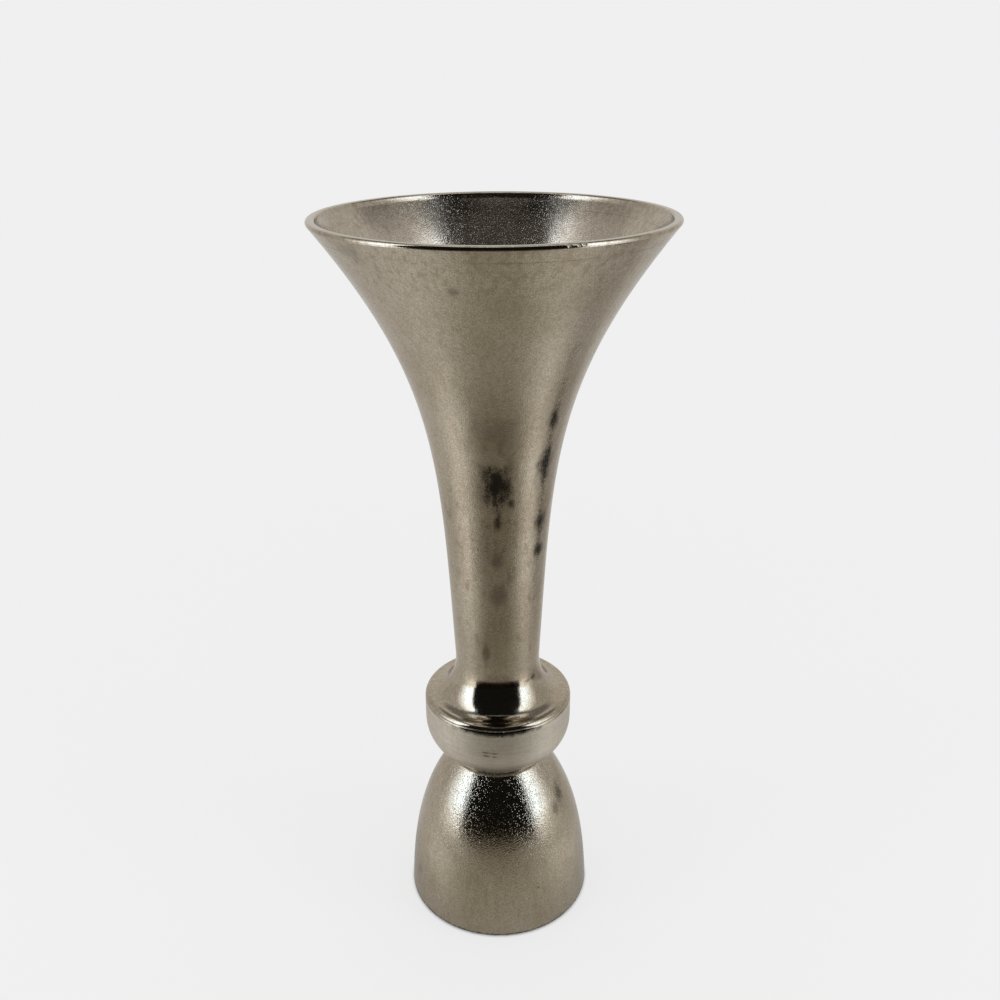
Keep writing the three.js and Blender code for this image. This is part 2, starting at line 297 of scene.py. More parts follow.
def rounded(corners, radius):
    """A path of straight lines whose inner corners are rounded."""
    path = [corners[0]]
    for before, corner, after in zip(corners, corners[1:], corners[2:]):
        begin = toward(corner, before, radius)
        finish = toward(corner, after, radius)
        path += straight(path[-1], begin)[1:]
        for step in range(1, CORNER_STEPS + 1):
            t = step / CORNER_STEPS
            path.append(tuple(
                (1 - t) ** 2 * b + 2 * t * (1 - t) * c + t * t * f
                for b, c, f in zip(begin, corner, finish)
            ))
    return path + straight(path[-1], corners[-1])[1:]


def outline(*stretches):
    """Joins stretches of points into one outline; a second finish is the one at a stretch's end."""
    joined = []
    for points, *finishes in stretches:
        first, last = finishes[0], finishes[-1]
        for index, point in enumerate(points):
            if joined and math.dist(joined[-1][0], point) < SAME_POINT:
                continue
            share = index / (len(points) - 1)
            joined.append((point, [a + (b - a) * share for a, b in zip(first, last)]))
    return joined


def flare_line(low, high):
    """The line of the stem and bell, from the stem's foot to the lip."""
    return curve(
        low,
        leaning(low, STEM_PULL, STEM_DRAFT_DEG),
        leaning(high, -RIM_PULL, RIM_SLOPE_DEG),
        high,
    )


def cove_line():
    low = (EDGE_CENTRE[0], COVE_LOW_Z)
    stem_low = (STEM_RADIUS, STEM_LOW_Z)
    return curve(
        low,
        (low[0] - QUARTER_TURN * (low[0] - STEM_RADIUS), COVE_LOW_Z),
        leaning(stem_low, -QUARTER_TURN * COVE_HEIGHT, STEM_DRAFT_DEG),
        stem_low,
        FINE_SPACING,
    )


def trumpet_outline():
    """From the tapped boss under the floor, round the foot, stem and bell, and back down the inside."""
    cove = cove_line()
    spigot_inner = SPIGOT_RADIUS - SPIGOT_WALL
    roof = between(inset(cove, FOOT_WALL), SEAM_Z, FLOOR_UNDER_Z)
    roof = [point for point in roof if point[0] < spigot_inner][::-1]
    boss = rounded([
        (0, TAP_TOP_Z),
        (TAPPED_RADIUS, TAP_TOP_Z),
        (TAPPED_RADIUS, BOSS_LOW_Z),
        (BOSS_RADIUS, BOSS_LOW_Z),
        (BOSS_RADIUS, FLOOR_UNDER_Z),
        roof[0],
    ], CAST_FILLET)
    spigot = rounded([
        roof[-1],
        (spigot_inner, SEAM_Z),
        (spigot_inner, SPIGOT_LOW_Z),
        (SPIGOT_RADIUS, SPIGOT_LOW_Z),
        (SPIGOT_RADIUS, SEAM_Z),
        (SEAM_RADIUS - SEAM_CHAMFER, SEAM_Z),
    ], MACHINED_FILLET)
    chamfer_deg = math.degrees(math.asin((SEAM_RISE + SEAM_CHAMFER) / EDGE_RADIUS))
    lip_centre = (RIM_RADIUS - LIP_EDGE_RADIUS, RIM_Z - LIP_EDGE_RADIUS)
    lip = arc(lip_centre, LIP_EDGE_RADIUS, -RIM_SLOPE_DEG, 90)
    mouth_radius = RIM_RADIUS - LIP_WIDTH
    mouth_edge = arc((mouth_radius + LIP_EDGE_RADIUS, lip_centre[1]), LIP_EDGE_RADIUS, 90, 180)
    flare = flare_line((STEM_RADIUS, STEM_LOW_Z), lip[0])
    bore_radius = STEM_RADIUS - STEM_WALL
    bore = flare_line((bore_radius, STEM_LOW_Z), (mouth_radius, lip_centre[1]))[::-1]
    fillet = arc((bore_radius - FLOOR_FILLET, FLOOR_Z + FLOOR_FILLET), FLOOR_FILLET, 0, -90)
    blend_end = 1 + next(i for i, point in enumerate(flare) if point[1] > STEM_LOW_Z + STEM_BLEND_HEIGHT)
    mouth_end = 1 + next(i for i, point in enumerate(bore) if point[1] < RIM_Z - MOUTH_DEPTH)
    return outline(
        (boss, AS_CAST),
        (roof, AS_CAST),
        (spigot, MACHINED),
        (arc(EDGE_CENTRE, EDGE_RADIUS, chamfer_deg, 90), POLISHED),
        (cove, POLISHED),
        (flare[:blend_end], POLISHED, SATIN),
        (flare[blend_end - 1:], SATIN),
        (lip, POLISHED),
        (straight(lip[-1], mouth_edge[0], FINE_SPACING), POLISHED),
        (mouth_edge, POLISHED, MOUTH_FINISH),
        (bore[:mouth_end], MOUTH_FINISH),
        (bore[mouth_end - 1:], MOUTH_FINISH, AS_CAST),
        (fillet, AS_CAST),
        (straight(fillet[-1], (0, FLOOR_Z)), AS_CAST),
    )


def knop_outline():
    """From the register in the base's crown, over the bowl and the seat, and down the hollow."""
    neck_top = (NECK_RADIUS, CROWN_Z + NECK_HEIGHT)
    bowl = curve(
        neck_top,
        leaning(neck_top, BOWL_PULL, 90 - BOWL_UNDER_DEG),
        (KNOP_RADIUS, BAND_LOW_Z - BOWL_PULL),
        (KNOP_RADIUS, BAND_LOW_Z),
        FINE_SPACING,
    )
    web_top = CROWN_Z + WEB_THICKNESS
    inner_bowl = curve(
        (KNOP_BORE_RADIUS, BAND_LOW_Z),
        (KNOP_BORE_RADIUS, BAND_LOW_Z - INNER_BOWL_PULL),
        (WEB_FLAT_RADIUS + INNER_BOWL_PULL, web_top),
        (WEB_FLAT_RADIUS, web_top),
    )
    register = rounded([
        (ROD_HOLE_RADIUS, REGISTER_LOW_Z + KNOP_START),
        (ROD_HOLE_RADIUS, REGISTER_LOW_Z),
        (REGISTER_RADIUS, REGISTER_LOW_Z),
        (REGISTER_RADIUS, CROWN_Z),
        (NECK_RADIUS, CROWN_Z),
        neck_top,
    ], MACHINED_FILLET)
    chamfer_deg = math.degrees(math.asin((SEAM_RISE - SEAM_CHAMFER) / EDGE_RADIUS))
    edge = arc(EDGE_CENTRE, EDGE_RADIUS, 0, chamfer_deg)
    seat = rounded([
        edge[-1],
        (SEAM_RADIUS - SEAM_CHAMFER, SEAM_Z),
        (KNOP_BORE_RADIUS, SEAM_Z),
        inner_bowl[0],
    ], SEAT_FILLET)
    web = rounded([
        inner_bowl[-1],
        (ROD_HOLE_RADIUS, web_top),
        (ROD_HOLE_RADIUS, REGISTER_LOW_Z + KNOP_START),
    ], MACHINED_FILLET)
    return outline(
        (register, MACHINED),
        (bowl, BRUSHED),
        (straight(bowl[-1], edge[0], FINE_SPACING), BRUSHED),
        (edge, POLISHED),
        (seat, MACHINED),
        (inner_bowl, AS_CAST),
        (web, AS_CAST),
    )


def base_outline():
    """From the foot ring, over the dome to the seat on the crown, and down the hollow."""
    foot = (FOOT_RADIUS, FOOT_Z)
    crown_edge = (CROWN_RADIUS, CROWN_Z)
    dome = curve(
        foot,
        leaning(foot, BASE_LOWER_PULL, -BASE_DRAFT_DEG),
        leaning(crown_edge, -CROWN_PULL, -CROWN_SLOPE_DEG),
        crown_edge,
        DOME_SPACING,
    )
    edge_centre = (FOOT_RADIUS - FOOT_EDGE_RADIUS, FOOT_Z + FOOT_EDGE_RADIUS)
    ring_inner = FOOT_RADIUS - FOOT_RING_WIDTH
    ring_top = FOOT_Z + FOOT_RING_HEIGHT
    hollow_low = ring_top + FOOT_RING_WIDTH - BASE_WALL
    hollow = between(inset(dome, BASE_WALL), hollow_low, CROWN_UNDER_Z - HOLLOW_GAP)[::-1]
    foot_edge = arc(edge_centre, FOOT_EDGE_RADIUS, -90, 0)
    ring_start = (ring_inner, ring_top - RING_START)
    ring = rounded([ring_start, (ring_inner, FOOT_Z), foot_edge[0]], RING_FILLET)
    seat = rounded([
        dome[-1],
        (RECESS_RADIUS, CROWN_Z),
        (RECESS_RADIUS, RECESS_LOW_Z),
        (ROD_HOLE_RADIUS, RECESS_LOW_Z),
        (ROD_HOLE_RADIUS, CROWN_UNDER_Z),
        (hollow[0][0], CROWN_UNDER_Z),
        hollow[0],
    ], CROWN_FILLET)
    ring_slope = rounded([hollow[-1], (ring_inner, ring_top), ring_start], CAST_FILLET)
    return outline(
        (ring, MACHINED),
        (foot_edge, POLISHED),
        ([point for point in dome if point[1] > edge_centre[1]], PEBBLED),
        (seat, MACHINED, AS_CAST),
        (hollow, AS_CAST),
        (ring_slope, AS_CAST, MACHINED),
    )


def washer_outline():
    """A flat ring with rounded edges."""
    start = (ROD_HOLE_RADIUS, (WASHER_LOW_Z + CROWN_UNDER_Z) / 2)
    corners = [
        start,
        (ROD_HOLE_RADIUS, WASHER_LOW_Z),
        (WASHER_RADIUS, WASHER_LOW_Z),
        (WASHER_RADIUS, CROWN_UNDER_Z),
        (ROD_HOLE_RADIUS, CROWN_UNDER_Z),
        start,
    ]
    return outline((rounded(corners, WASHER_FILLET), MACHINED))


def nut_outline():
    """The round blank of a nut: its corners are turned off at both ends and its bore is countersunk."""
    corner_radius = NUT_FLATS / 2 / math.cos(math.pi / FLAT_COUNT)
    face_radius = NUT_FLATS / 2
    rise = (corner_radius - face_radius) * math.tan(math.radians(NUT_CHAMFER_DEG))
    half = [
        (TAPPED_RADIUS, NUT_LOW_Z + NUT_SINK),
        (TAPPED_RADIUS + NUT_SINK, NUT_LOW_Z),
        (face_radius, NUT_LOW_Z),
        (corner_radius, NUT_LOW_Z + rise),
    ]
    other_half = [(radius, SPRING_LOW_Z + NUT_LOW_Z - height) for radius, height in half[::-1]]
    loop = [*half, *other_half, half[0]]
    path = [loop[0]]
    for start, end in zip(loop, loop[1:]):
        path += straight(start, end, NUT_SPACING)[1:]
    return outline((path, MACHINED))


def felt_outline():
    """A felt dot, softened all round its edge."""
    corners = [(0, 0), (FELT_RADIUS, 0), (FELT_RADIUS, FELT_THICKNESS), (0, FELT_THICKNESS)]
    return outline((rounded(corners, FELT_FILLET), AS_CAST))


# Node helpers, for geometry and for materials


class Net:
    """A tree of nodes that is being wired: most methods add nodes and give back an output."""

    def __init__(self, tree):
        self.tree = tree

    def link(self, output, socket):
        self.tree.links.new(output, socket)

    def add(self, kind, inputs=None, **settings):
        """Adds a node, sets its properties and fills its inputs with values or with other nodes' outputs."""
        made = self.tree.nodes.new(kind)
        for name, value in settings.items():
            setattr(made, name, value)
        for name, value in (inputs or {}).items():
            if isinstance(value, bpy.types.NodeSocket):
                self.link(value, made.inputs[name])
            else:
                made.inputs[name].default_value = value
        return made

    def out(self, kind, inputs=None, **settings):
        """The first output of a new node."""
        return self.add(kind, inputs, **settings).outputs[0]

    def calc(self, operation, first, second=0.0, third=0.0):
        """The result of a Math node."""
        return self.out("ShaderNodeMath", {0: first, 1: second, 2: third}, operation=operation)

    def chain(self, operation, values):
        """One operation, carried on over several values."""
        result = values[0]
        for value in values[1:]:
            result = self.calc(operation, result, value)
        return result

    def total(self, *values):
        return self.chain("ADD", values)

    def product(self, *values):
        return self.chain("MULTIPLY", values)

    def minus(self, first, second):
        return self.calc("SUBTRACT", first, second)

    def over(self, first, second):
        return self.calc("DIVIDE", first, second)

    def vector(self, x=0.0, y=0.0, z=0.0):
        """A vector from its three parts."""
        return self.out("ShaderNodeCombineXYZ", {"X": x, "Y": y, "Z": z})

    def parts(self, vector):
        """The three parts of a vector."""
        return self.add("ShaderNodeSeparateXYZ", {0: vector}).outputs

    def length(self, vector):
        return self.add("ShaderNodeVectorMath", {0: vector}, operation="LENGTH").outputs["Value"]

    def from_axis(self, parts):
        """The level distance from the vase's axis."""
        return self.length(self.vector(parts["X"], parts["Y"]))

    def object_point(self, stretch=(1, 1, 1), shift=(0, 0, 0)):
        """Object coordinates; a scale below one draws the pattern out along that axis."""
        point = self.add("ShaderNodeTexCoord").outputs["Object"]
        return self.out("ShaderNodeMapping", {"Vector": point, "Scale": stretch, "Location": shift})

    def noise(self, size, detail=2.0, stretch=(1, 1, 1), seed=0.0):
        """Noise whose features are about the given size in millimetres."""
        return self.out("ShaderNodeTexNoise", {
            "Vector": self.object_point(stretch),
            "W": seed,
            "Scale": 1 / (size * MM),
            "Detail": detail,
        }, noise_dimensions="4D")

    def spots(self, spacing, radius, kept, seed):
        """Scattered round spots, one cell of the spacing each, of which only a share is kept."""
        cells = self.add("ShaderNodeTexVoronoi", {
            "Vector": self.object_point(shift=(seed, 0, 0)),
            "Scale": 1 / (spacing * MM),
        })
        near = self.ramp(cells.outputs["Distance"], 0, radius / spacing, 1, 0)
        lot = self.out("ShaderNodeSeparateColor", {0: cells.outputs["Color"]})
        return self.product(near, self.calc("LESS_THAN", lot, kept))

    def ring_lines(self, pitch):
        """Fine lines round the axis, as a lathe tool leaves them on faces and on walls."""
        parts = self.parts(self.object_point())
        path = self.total(self.from_axis(parts), parts["Z"])
        return self.calc("SINE", self.product(path, FULL_TURN / (pitch * MM)))

    def ramp(self, value, low, high, low_result=0.0, high_result=1.0):
        """A value eased from one range to another, and held at both ends."""
        return self.out("ShaderNodeMapRange", {
            "Value": value,
            "From Min": low,
            "From Max": high,
            "To Min": low_result,
            "To Max": high_result,
        }, interpolation_type="SMOOTHSTEP")

    def blend(self, share, first, second):
        """A colour between two others."""
        return self.add("ShaderNodeMix", {0: share, 6: first, 7: second}, data_type="RGBA").outputs[2]

    def bump(self, height):
        """A bump whose height is given in millimetres."""
        return self.out("ShaderNodeBump", {"Height": height, "Strength": 1.0, "Distance": MM})


# Geometry trees


def new_geometry_net(name, inputs):
    """A geometry tree with its inputs, named by kind, and the sockets of its inputs and of its result."""
    tree = bpy.data.node_groups.new(name, "GeometryNodeTree")
    tree.interface.new_socket("Geometry", in_out="OUTPUT", socket_type="NodeSocketGeometry")
    for kind, labels in inputs.items():
        for label in labels:
            tree.interface.new_socket(label, in_out="INPUT", socket_type="NodeSocket" + kind)
    given = tree.nodes.new("NodeGroupInput").outputs
    return Net(tree), given, tree.nodes.new("NodeGroupOutput").inputs["Geometry"]


def finish_tree(net, geometry, material, result):
    """Ends a tree: smooth faces, real geometry and the material."""
    smooth = net.out("GeometryNodeSetShadeSmooth", {"Geometry": geometry})
    real = net.out("GeometryNodeRealizeInstances", {"Geometry": smooth})
    net.link(net.out("GeometryNodeSetMaterial", {"Geometry": real, "Material": material}), result)
    return net.tree


def grid_to_turn(net, sides, rows):
    """A grid to be bent about Z, with the row and the angle of each of its points."""
    grid = net.out("GeometryNodeMeshGrid", {"Vertices X": net.total(sides, 1), "Vertices Y": rows})
    index = net.out("GeometryNodeInputIndex")
    column = net.calc("FLOOR", net.over(net.total(index, 0.5), rows))
    row = net.minus(index, net.product(column, rows))
    angle = net.product(net.over(column, sides), FULL_TURN)
    return grid, row, angle


def turn_grid(net, grid, radius, angle, height):
    """Sets every point of a grid at its radius, angle and height."""
    x = net.product(radius, net.calc("COSINE", angle))
    y = net.product(radius, net.calc("SINE", angle))
    return net.out("GeometryNodeSetPosition", {"Geometry": grid, "Position": net.vector(x, y, height)})


def close_seams(net, geometry):
    return net.out("GeometryNodeMergeByDistance", {"Geometry": geometry, "Distance": SEAM_MERGE})


def press_in(net, geometry, pattern, depth):
    """Presses a surface inwards by a pattern, so that it stays inside its own size."""
    pressed = net.product(pattern, net.product(depth, -1))
    normal = net.out("GeometryNodeInputNormal")
    offset = net.out("ShaderNodeVectorMath", {0: normal, "Scale": pressed}, operation="SCALE")
    return net.out("GeometryNodeSetPosition", {"Geometry": geometry, "Offset": offset})


def turned_piece_tree():
    """Turns an outline about Z, mills flats on it if asked, and gives it a casting's slight unevenness."""
    net, given, result = new_geometry_net("turned_piece", {
        "Geometry": ("Outline",),
        "Int": ("Sides", "Flats"),
        "Float": ("Across Flats", "Unevenness", "Wave Length", "Seed"),
        "Material": ("Material",),
    })
    line = given["Outline"]
    rows = net.add("GeometryNodeAttributeDomainSize", {0: line}).outputs["Point Count"]
    grid, row, angle = grid_to_turn(net, given["Sides"], rows)

    def along_outline(value, data_type):
        inputs = {"Geometry": line, "Value": value, "Index": row}
        return net.out("GeometryNodeSampleIndex", inputs, data_type=data_type, domain="POINT")

    point = net.parts(along_outline(net.out("GeometryNodeInputPosition"), "FLOAT_VECTOR"))
    flat_turn = net.over(FULL_TURN, given["Flats"])
    from_flat = net.minus(net.calc("MODULO", angle, flat_turn), net.product(flat_turn, 0.5))
    flat_reach = net.over(net.product(given["Across Flats"], 0.5), net.calc("COSINE", from_flat))
    radius = net.calc("MINIMUM", point["X"], flat_reach)
    geometry = turn_grid(net, grid, radius, angle, point["Z"])
    for name, data_type in FINISH_ATTRIBUTES.items():
        stored = net.out("GeometryNodeInputNamedAttribute", {"Name": name}, data_type=data_type)
        geometry = net.out("GeometryNodeStoreNamedAttribute", {
            "Geometry": geometry,
            "Name": name,
            "Value": along_outline(stored, data_type),
        }, data_type=data_type, domain="POINT")
    waves = net.out("ShaderNodeTexNoise", {
        "Vector": net.out("GeometryNodeInputPosition"),
        "W": given["Seed"],
        "Scale": net.over(1, given["Wave Length"]),
        "Detail": 1.0,
    }, noise_dimensions="4D")
    uneven = press_in(net, close_seams(net, geometry), waves, given["Unevenness"])
    return finish_tree(net, uneven, given["Material"], result)


def threaded_rod_tree():
    """A rod with a helical thread along its whole length and turned tips."""
    net, given, result = new_geometry_net("threaded_rod", {
        "Float": ("Low", "Length", "Radius", "Pitch", "Depth", "Chamfer"),
        "Int": ("Sides", "Rows Per Turn"),
        "Material": ("Material",),
    })
    turns = net.over(given["Length"], given["Pitch"])
    steps = net.calc("ROUND", net.product(turns, given["Rows Per Turn"]))
    grid, row, angle = grid_to_turn(net, given["Sides"], net.total(steps, 3))
    share = net.over(net.minus(row, 1), steps)
    along = net.product(net.out("ShaderNodeClamp", {"Value": share}), given["Length"])
    phase = net.calc("FRACT", net.minus(net.over(along, given["Pitch"]), net.over(angle, FULL_TURN)))
    groove = net.calc("PINGPONG", net.product(phase, 2), 1)
    threaded = net.minus(given["Radius"], net.product(groove, given["Depth"]))
    to_end = net.calc("MINIMUM", along, net.minus(given["Length"], along))
    tip = net.total(net.minus(given["Radius"], given["Chamfer"]), to_end)
    inside = net.calc("COMPARE", share, 0.5, 0.5 + END_TOLERANCE)
    radius = net.product(net.calc("MINIMUM", threaded, tip), inside)
    rod = turn_grid(net, grid, radius, angle, net.total(given["Low"], along))
    return finish_tree(net, close_seams(net, rod), given["Material"], result)


def felt_feet_tree(turned_tree):
    """Felt dots, evenly spaced round the foot ring, each one turned from the same outline."""
    net, given, result = new_geometry_net("felt_feet", {
        "Geometry": ("Outline",),
        "Int": ("Count", "Sides"),
        "Float": ("Ring Radius", "First Angle", "Fuzz"),
        "Material": ("Material",),
    })
    dot = net.out("GeometryNodeGroup", {
        "Outline": given["Outline"],
        "Sides": given["Sides"],
        "Flats": FLAT_COUNT,
        "Across Flats": FAR_ACROSS,
        "Wave Length": WAVE_LENGTH,
    }, node_tree=turned_tree)
    ring = net.out("GeometryNodeMeshCircle", {"Vertices": given["Count"], "Radius": given["Ring Radius"]})
    spin = net.vector(z=given["First Angle"])
    turned_ring = net.out("GeometryNodeTransform", {"Geometry": ring, "Rotation": spin})
    dots = net.out("GeometryNodeInstanceOnPoints", {"Points": turned_ring, "Instance": dot})
    real = net.out("GeometryNodeRealizeInstances", {"Geometry": dots})
    fibres = net.out("ShaderNodeTexNoise", {
        "Vector": net.out("GeometryNodeInputPosition"),
        "Scale": FELT_FUZZ_SCALE,
        "Detail": 3.0,
    })
    return finish_tree(net, press_in(net, real, fibres, given["Fuzz"]), given["Material"], result)


def bent_bar_tree():
    """A bar with rounded edges, bent about Z into an open ring whose ends are cut on a slant."""
    net, given, result = new_geometry_net("bent_bar", {
        "Float": ("Ring Radius", "Width", "Thickness", "Edge Radius", "Split", "Slant", "Middle"),
        "Int": ("Sides",),
        "Material": ("Material",),
    })
    path = net.out("GeometryNodeCurveArc", {
        "Resolution": given["Sides"],
        "Radius": given["Ring Radius"],
        "Start Angle": net.product(given["Split"], 0.5),
        "Sweep Angle": net.minus(FULL_TURN, given["Split"]),
    }, mode="RADIUS")
    section = net.out("GeometryNodeCurvePrimitiveQuadrilateral", {
        "Width": given["Width"],
        "Height": given["Thickness"],
    })
    eased = net.out("GeometryNodeFilletCurve", {
        "Curve": section,
        "Count": CORNER_STEPS,
        "Radius": given["Edge Radius"],
    }, mode="POLY")
    bar = net.out("GeometryNodeCurveToMesh", {
        "Curve": net.out("GeometryNodeSetCurveNormal", {"Curve": path}, mode="Z_UP"),
        "Profile Curve": eased,
        "Fill Caps": True,
    })
    position = net.out("GeometryNodeInputPosition")
    slant = net.over(given["Slant"], given["Thickness"])
    slanted = net.out("ShaderNodeVectorRotate", {
        "Vector": position,
        "Angle": net.product(net.parts(position)["Z"], slant),
    }, rotation_type="Z_AXIS")
    placed = net.out("GeometryNodeSetPosition", {
        "Geometry": bar,
        "Position": slanted,
        "Offset": net.vector(z=given["Middle"]),
    })
    return finish_tree(net, placed, given["Material"], result)


# Materials, all from Object coordinates and from the finish stored on the turned pieces


def empty_material(name):
    """A node material with nothing but its output."""
    material = bpy.data.materials.new(name)
    material.use_nodes = True
    net = Net(material.node_tree)
    net.tree.nodes.clear()
    return material, net, net.add("ShaderNodeOutputMaterial").inputs["Surface"]


def shaded_material(name):
    """A node material with a Principled shader on its output."""
    material, net, surface = empty_material(name)
    shader = net.add("ShaderNodeBsdfPrincipled")
    net.link(shader.outputs[0], surface)
    return material, net, shader.inputs


NICKEL_PALE = (0.515, 0.458, 0.372, 1)
NICKEL_TARNISHED = (0.335, 0.277, 0.198, 1)
NICKEL_BRUSHED = (0.65, 0.60, 0.52, 1)
NICKEL_EDGE_TINT = (0.85, 0.83, 0.80, 1)
STAIN_COLOUR = (0.17, 0.125, 0.085, 1)
# Dark colour for marks, for painted reflections of dark things and for painted shade
MARK_REFLECTION_AND_SHADE_COLOUR = (0.035, 0.03, 0.025, 1)
PIT_COLOUR = (0.10, 0.085, 0.065, 1)
DEPOSIT_COLOUR = (0.86, 0.76, 0.69, 1)
CAST_PALE = (0.42, 0.36, 0.315, 1)
CAST_DARK = (0.24, 0.195, 0.165, 1)

# Heights of bump in the plate, in millimetres
WAVE_HEIGHT = 0.3
PEBBLE_HEIGHT = 0.10
DENT_DEPTH = 0.11
RAISED_GRAIN_HEIGHT = 0.11
MICRO_HEIGHT = 0.012
LATHE_HEIGHT = 0.01
LATHE_PITCH = 0.7
PIT_DEPTH = 0.12
NICK_DEPTH = 0.25

# Patterns in the plate, with their sizes in millimetres
PLATE_NOISE = {
    "clouds": {"size": 42, "detail": 3, "seed": 1},
    "mottle": {"size": 2.8, "seed": 2},
    "streaks": {"size": 3.2, "stretch": (1, 1, 0.06), "seed": 3},
    "pebbles": {"size": 0.68, "detail": 0, "seed": 4},
    "micro": {"size": 0.5, "detail": 1, "seed": 5},
    "blotches": {"size": 5, "detail": 4, "stretch": (1, 1, 0.5), "seed": 7},
    "sand": {"size": 0.9, "seed": 8},
    "waves": {"size": 22, "detail": 0, "seed": 11},
    "brush_lines": {"size": 0.9, "stretch": (0.08, 0.08, 1), "seed": 13},
}
PLATE_SPOTS = {
    "pits": {"spacing": 16, "radius": 0.7, "kept": 0.25, "seed": 6},
    "dents": {"spacing": 1.2, "radius": 0.42, "kept": 0.6, "seed": 9},
    "specks": {"spacing": 5, "radius": 0.5, "kept": 0.3, "seed": 10},
    "crumbs": {"spacing": 1.0, "radius": 0.45, "kept": 0.8, "seed": 12},
    "raised_grains": {"spacing": 1.25, "radius": 0.48, "kept": 0.7, "seed": 14},
}

# Ramps over those patterns and over the finish: the values between which each eases, and the results
TARNISH_RAMPS = {
    "clouds": (0.35, 0.70, 0, 0.35),
    "mottle": (0.30, 0.75, 0, 0.25),
    "streaks": (0.45, 0.80, 0, 0.25),
    "sand": (0.30, 0.70, 0, 0.70),
}
LIP_RUN_RAMP = (0.50, 0.72, 0, 0.5)
STAIN_RAMP = (0.54, 0.72, 0, 0.45)
BRUSH_LINE_RAMP = (0.3, 0.7, 0.6, 1.4)
BRUSHED_RAMP = (0.3, 0.7, 1, 0)
# Breaks up the painted shade along the foot
FOOT_SHADE_RAMP = (0.35, 0.55, 0.4, 1)
SCRIBED_RAMP = (0.40, 0.55, 0, 0.35)
CAST_SKIN_RAMP = (0.3, 0.7)
DEPOSIT_RAMP = (0.3, 0.6, 0.3, 1)
HELD_DEPOSIT_RAMP = (0.05, 0.2)
POLISH_ROUGHNESS_RAMP = (0, 1, 0.50, 0.10)
CLOUD_ROUGHNESS_RAMP = (0.3, 0.7, -0.02, 0.03)
STREAK_ROUGHNESS_RAMP = (0.3, 0.7, -0.02, 0.02)
WAVE_RAMP = (0.1, 0.5, 0, WAVE_HEIGHT)
MICRO_RAMP = (0, 1, MICRO_HEIGHT, 0)

# Shares of the dark specks, of the mouth's haze and of the scuffing at a nick
SPECK_SHARE = 0.6
DEPOSIT_HAZE = 0.10
NICK_SCUFF = 0.5

# Where the plate has aged, and the band of painted shade along the foot, in metres above the table
RIM = RIM_Z * MM
STAINED_RISE = (0.19, 0.23)
STAINED_FADE = (0.30, 0.37)
DEPOSIT_FADE = (RIM - 0.026, RIM - 0.006, 1, 0.1)
LIP_RUN_HEIGHTS = (RIM - 0.045, RIM - 0.008)
SCRIBED_HEIGHT = RIM - 0.0095
SCRIBED_EDGE = (0, 0.0005, 1, 0)
# Painted shade along the bottom of the base, where it meets the table
FOOT_SHADE_FADE = ((FOOT_Z + 0.5) * MM, (FOOT_Z + 2.2) * MM, 0.9, 0)

# Dark marks, painted reflections of dark things and painted shade, in millimetres: place, half the width and
# half the height, and how dark
MARKS_PAINTED_REFLECTIONS_AND_SHADE = (
    # Front of the bell and stem: painted reflection of the dark floor in front of the vase
    ((0, -41, 343), (11, 19), 0.97),
    ((1, -41, 340.5), (7.5, 13), 0.97),
    ((9, -38, 330), (3.5, 4), 0.90),
    ((1, -37, 315), (3.5, 6), 0.85),
    ((0, -48, 380), (17, 15), 0.30),
    ((0, -34, 288), (4.5, 7), 0.40),
    ((1, -33, 262), (6, 10), 0.45),
    ((-8, -29, 216), (3, 12), 0.50),
    # Right of the bell and stem: painted reflection of a dark thing at the right of the vase
    ((35, -35, 384), (5.5, 10), 0.90),
    ((30, -29, 352), (7, 17), 0.95),
    ((28, -23, 311), (6, 9), 0.95),
    ((27, -21, 290), (6, 5.5), 0.95),
    # Below the lip
    ((-22, -90, 473), (3.5, 3.5), 0.45),
    ((-78, -74, 490), (11, 10), 0.35),
    # Seam: painted shade of the gap under the bell's edge, on the front only; and dark spots beside the
    # stem's foot
    ((0, -KNOP_RADIUS, SEAM_Z - 2), (34, 2.5), 0.97),
    ((23.5, -18.5, 189.5), (2.4, 1.6), 0.80),
    ((20.5, -22.5, 189.3), (3.2, 1.1), 0.50),
    # Scratches on the bowl
    ((-8.7, -51, 150.7), (3, 0.8), 0.70),
    ((-2.2, -52, 150.2), (2.8, 0.8), 0.70),
    ((-8, -51, 147.9), (2.6, 0.8), 0.75),
    ((-2.6, -52, 147.3), (2.4, 0.8), 0.65),
    # Shoulder and lower part of the base
    ((43, -21, 93.5), (4, 9.5), 0.70),
    ((40, -32, 86), (4.5, 6.5), 0.40),
    ((28, -57, 37), (1.4, 1.4), 0.60),
    ((-59, -27, 27), (3.5, 4.5), 0.35),
)

# Small nicks in the front of the lip, where the plate is scuffed
LIP_NICKS = ((37.5, -104, 499.2), (42.5, -102, 499.3), (45.5, -100.8, 499.3))
NICK_SIZE = (1.1, 1.1)

# How patterns break the edges of marks, painted reflections and painted shade, and where they fade, as shares
# of their half size
BROKEN_PATCH_BLOTCH_RAMP = (0.3, 0.7, -0.3, 0.3)
BROKEN_PATCH_SAND_RAMP = (0.3, 0.7, -0.25, 0.25)
BROKEN_PATCH_EDGE = (0.15, 1.3)


def broken_patch(net, point, noise, place, size, darkness=1):
    """A patch with a broken edge, for marks, nicks, painted reflections and painted shade: how dark it is at
    a point; its height is measured along the axis.
    """
    middle = [value * MM for value in place]
    half_width, half_height = [value * MM for value in size]
    scale = (1 / half_width, 1 / half_width, 1 / half_height)
    away = net.out("ShaderNodeVectorMath", {0: point, 1: middle}, operation="SUBTRACT")
    scaled = net.out("ShaderNodeVectorMath", {0: away, 1: scale}, operation="MULTIPLY")
    broken = net.total(
        net.length(scaled),
        net.ramp(noise["blotches"], *BROKEN_PATCH_BLOTCH_RAMP),
        net.ramp(noise["sand"], *BROKEN_PATCH_SAND_RAMP),
    )
    return net.ramp(broken, *BROKEN_PATCH_EDGE, darkness, 0)


